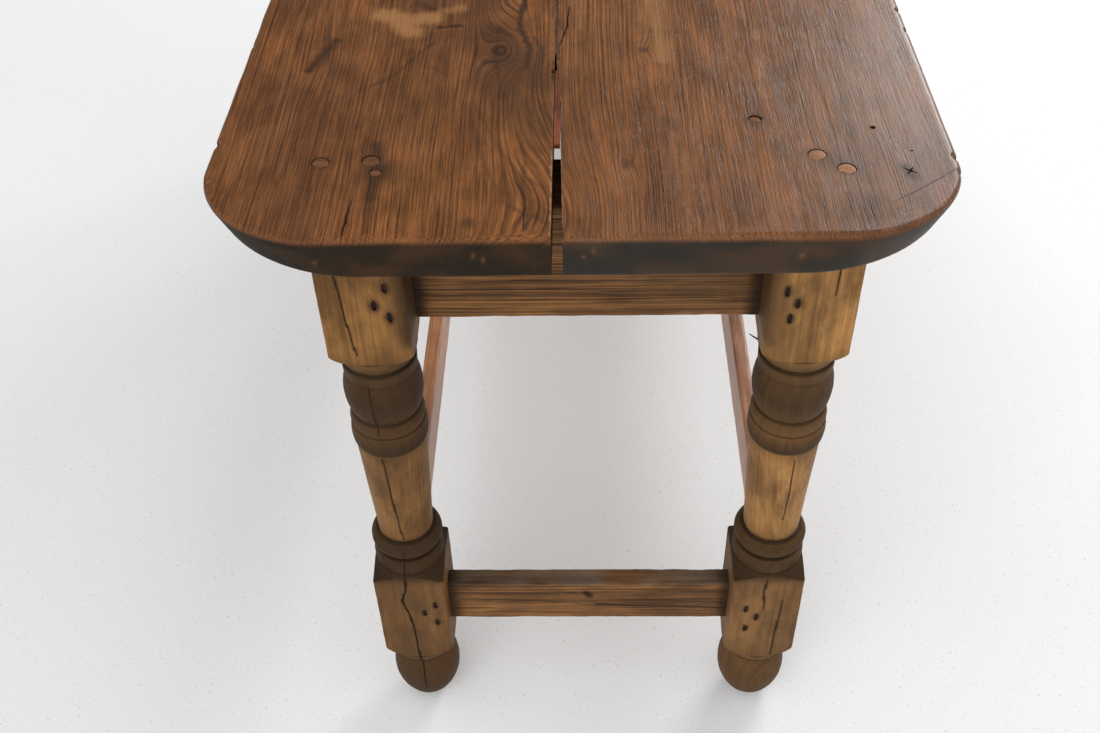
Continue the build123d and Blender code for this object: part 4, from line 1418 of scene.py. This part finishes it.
# ---- Floor, light and camera --------------------------------------------------------------------
FLOOR_REACH = 9.0
floor_mesh = bpy.data.meshes.new("floor")
corners = [(sx * FLOOR_REACH, sy * FLOOR_REACH, 0.0) for sx, sy in ((-1, -1), (1, -1), (1, 1), (-1, 1))]
floor_mesh.from_pydata(corners, [], [(0, 1, 2, 3)])
floor = placed("floor", floor_mesh)
paint = Surface("floor_paint")
speck = paint.noise(paint.axes, (260.0, 260.0, 0.0), 0.0, 2.0, 0.6)
veil = paint.noise(paint.axes, (2.2, 2.2, 0.0), 0.0, 3.0)
floor_colour = paint.mix(paint.step(speck, 0.64, 0.72, 0.0, 0.55), (0.86, 0.865, 0.87), (0.36, 0.34, 0.30))
floor_colour = paint.mix(paint.step(veil, 0.4, 0.7, 0.0, 0.10), floor_colour, (0.76, 0.76, 0.75))
floor_mesh.materials.append(paint.finish(floor_colour, 0.62, speck, 0.0002, 0.3))
floor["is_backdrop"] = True

SKY_STRENGTH = 0.89
world = bpy.data.worlds.new("studio")
bpy.context.scene.world = world
world.use_nodes = True
sky = world.node_tree
background = sky.nodes["Background"]
background.inputs["Color"].default_value = (1.0, 1.0, 1.0, 1.0)
heading = sky.nodes.new("ShaderNodeSeparateXYZ")
sky.links.new(sky.nodes.new("ShaderNodeTexCoord").outputs["Generated"], heading.inputs[0])


def sky_step(value, low, high, start, end):
    """A soft step of a value of the world's nodes."""
    node = sky.nodes.new("ShaderNodeMapRange")
    node.interpolation_type = "SMOOTHSTEP"
    sky.links.new(value, node.inputs["Value"])
    for socket, number in (("From Min", low), ("From Max", high), ("To Min", start), ("To Max", end)):
        node.inputs[socket].default_value = number
    return node.outputs["Result"]


# The room is darker low down beyond the far end, so the top doesn't mirror a white wall.
beyond = sky_step(heading.outputs["Y"], 0.10, 0.75, 0.0, 0.68)
low_down = sky_step(heading.outputs["Z"], 0.60, 0.85, 1.0, 0.0)
shaded = sky.nodes.new("ShaderNodeMath")
shaded.operation = "MULTIPLY"
sky.links.new(beyond, shaded.inputs[0])
sky.links.new(low_down, shaded.inputs[1])
sky.links.new(sky_step(shaded.outputs[0], 0.0, 1.0, SKY_STRENGTH, 0.0), background.inputs["Strength"])


def soft_light(name, place, aim, size, power, colour=(1.0, 0.995, 0.985)):
    """A large square light that faces a point."""
    lamp = bpy.data.lights.new(name, "AREA")
    lamp.shape = "RECTANGLE"
    lamp.size, lamp.size_y = size
    lamp.energy = power
    lamp.color = colour
    made = placed(name, lamp)
    made.location = place
    made.rotation_euler = (Vector(aim) - Vector(place)).to_track_quat("-Z", "Y").to_euler()


soft_light("window", (2.5, 3.3, 2.6), (0.1, -0.5, 0.5), (2.2, 1.8), 118.0)
soft_light("fill", (-1.2, -3.4, 2.6), (0.0, -0.6, 0.4), (2.6, 2.0), 44.0)

CAMERA_PLACE = Vector((0.0021, -1.5822, 1.3724))
CAMERA_DOWN = math.radians(43.47)
CAMERA_YAW = math.radians(-2.11)
CAMERA_ROLL = math.radians(-1.84)
camera_data = bpy.data.cameras.new("camera")
camera_data.sensor_width = 36.0
camera_data.lens = 40.48
camera = placed("camera", camera_data)
flat_ahead = Vector((math.sin(CAMERA_YAW), math.cos(CAMERA_YAW), 0.0))
ahead = flat_ahead * math.cos(CAMERA_DOWN) - Vector((0.0, 0.0, math.sin(CAMERA_DOWN)))
level = Vector((math.cos(CAMERA_YAW), -math.sin(CAMERA_YAW), 0.0))
upward = level.cross(ahead)
right = level * math.cos(CAMERA_ROLL) + upward * math.sin(CAMERA_ROLL)
upward = upward * math.cos(CAMERA_ROLL) - level * math.sin(CAMERA_ROLL)
camera.matrix_world = Matrix.Translation(CAMERA_PLACE) @ Matrix((right, upward, -ahead)).transposed().to_4x4()
bpy.context.scene.camera = camera
bpy.context.scene.view_settings.view_transform = "Standard"

low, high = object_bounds()
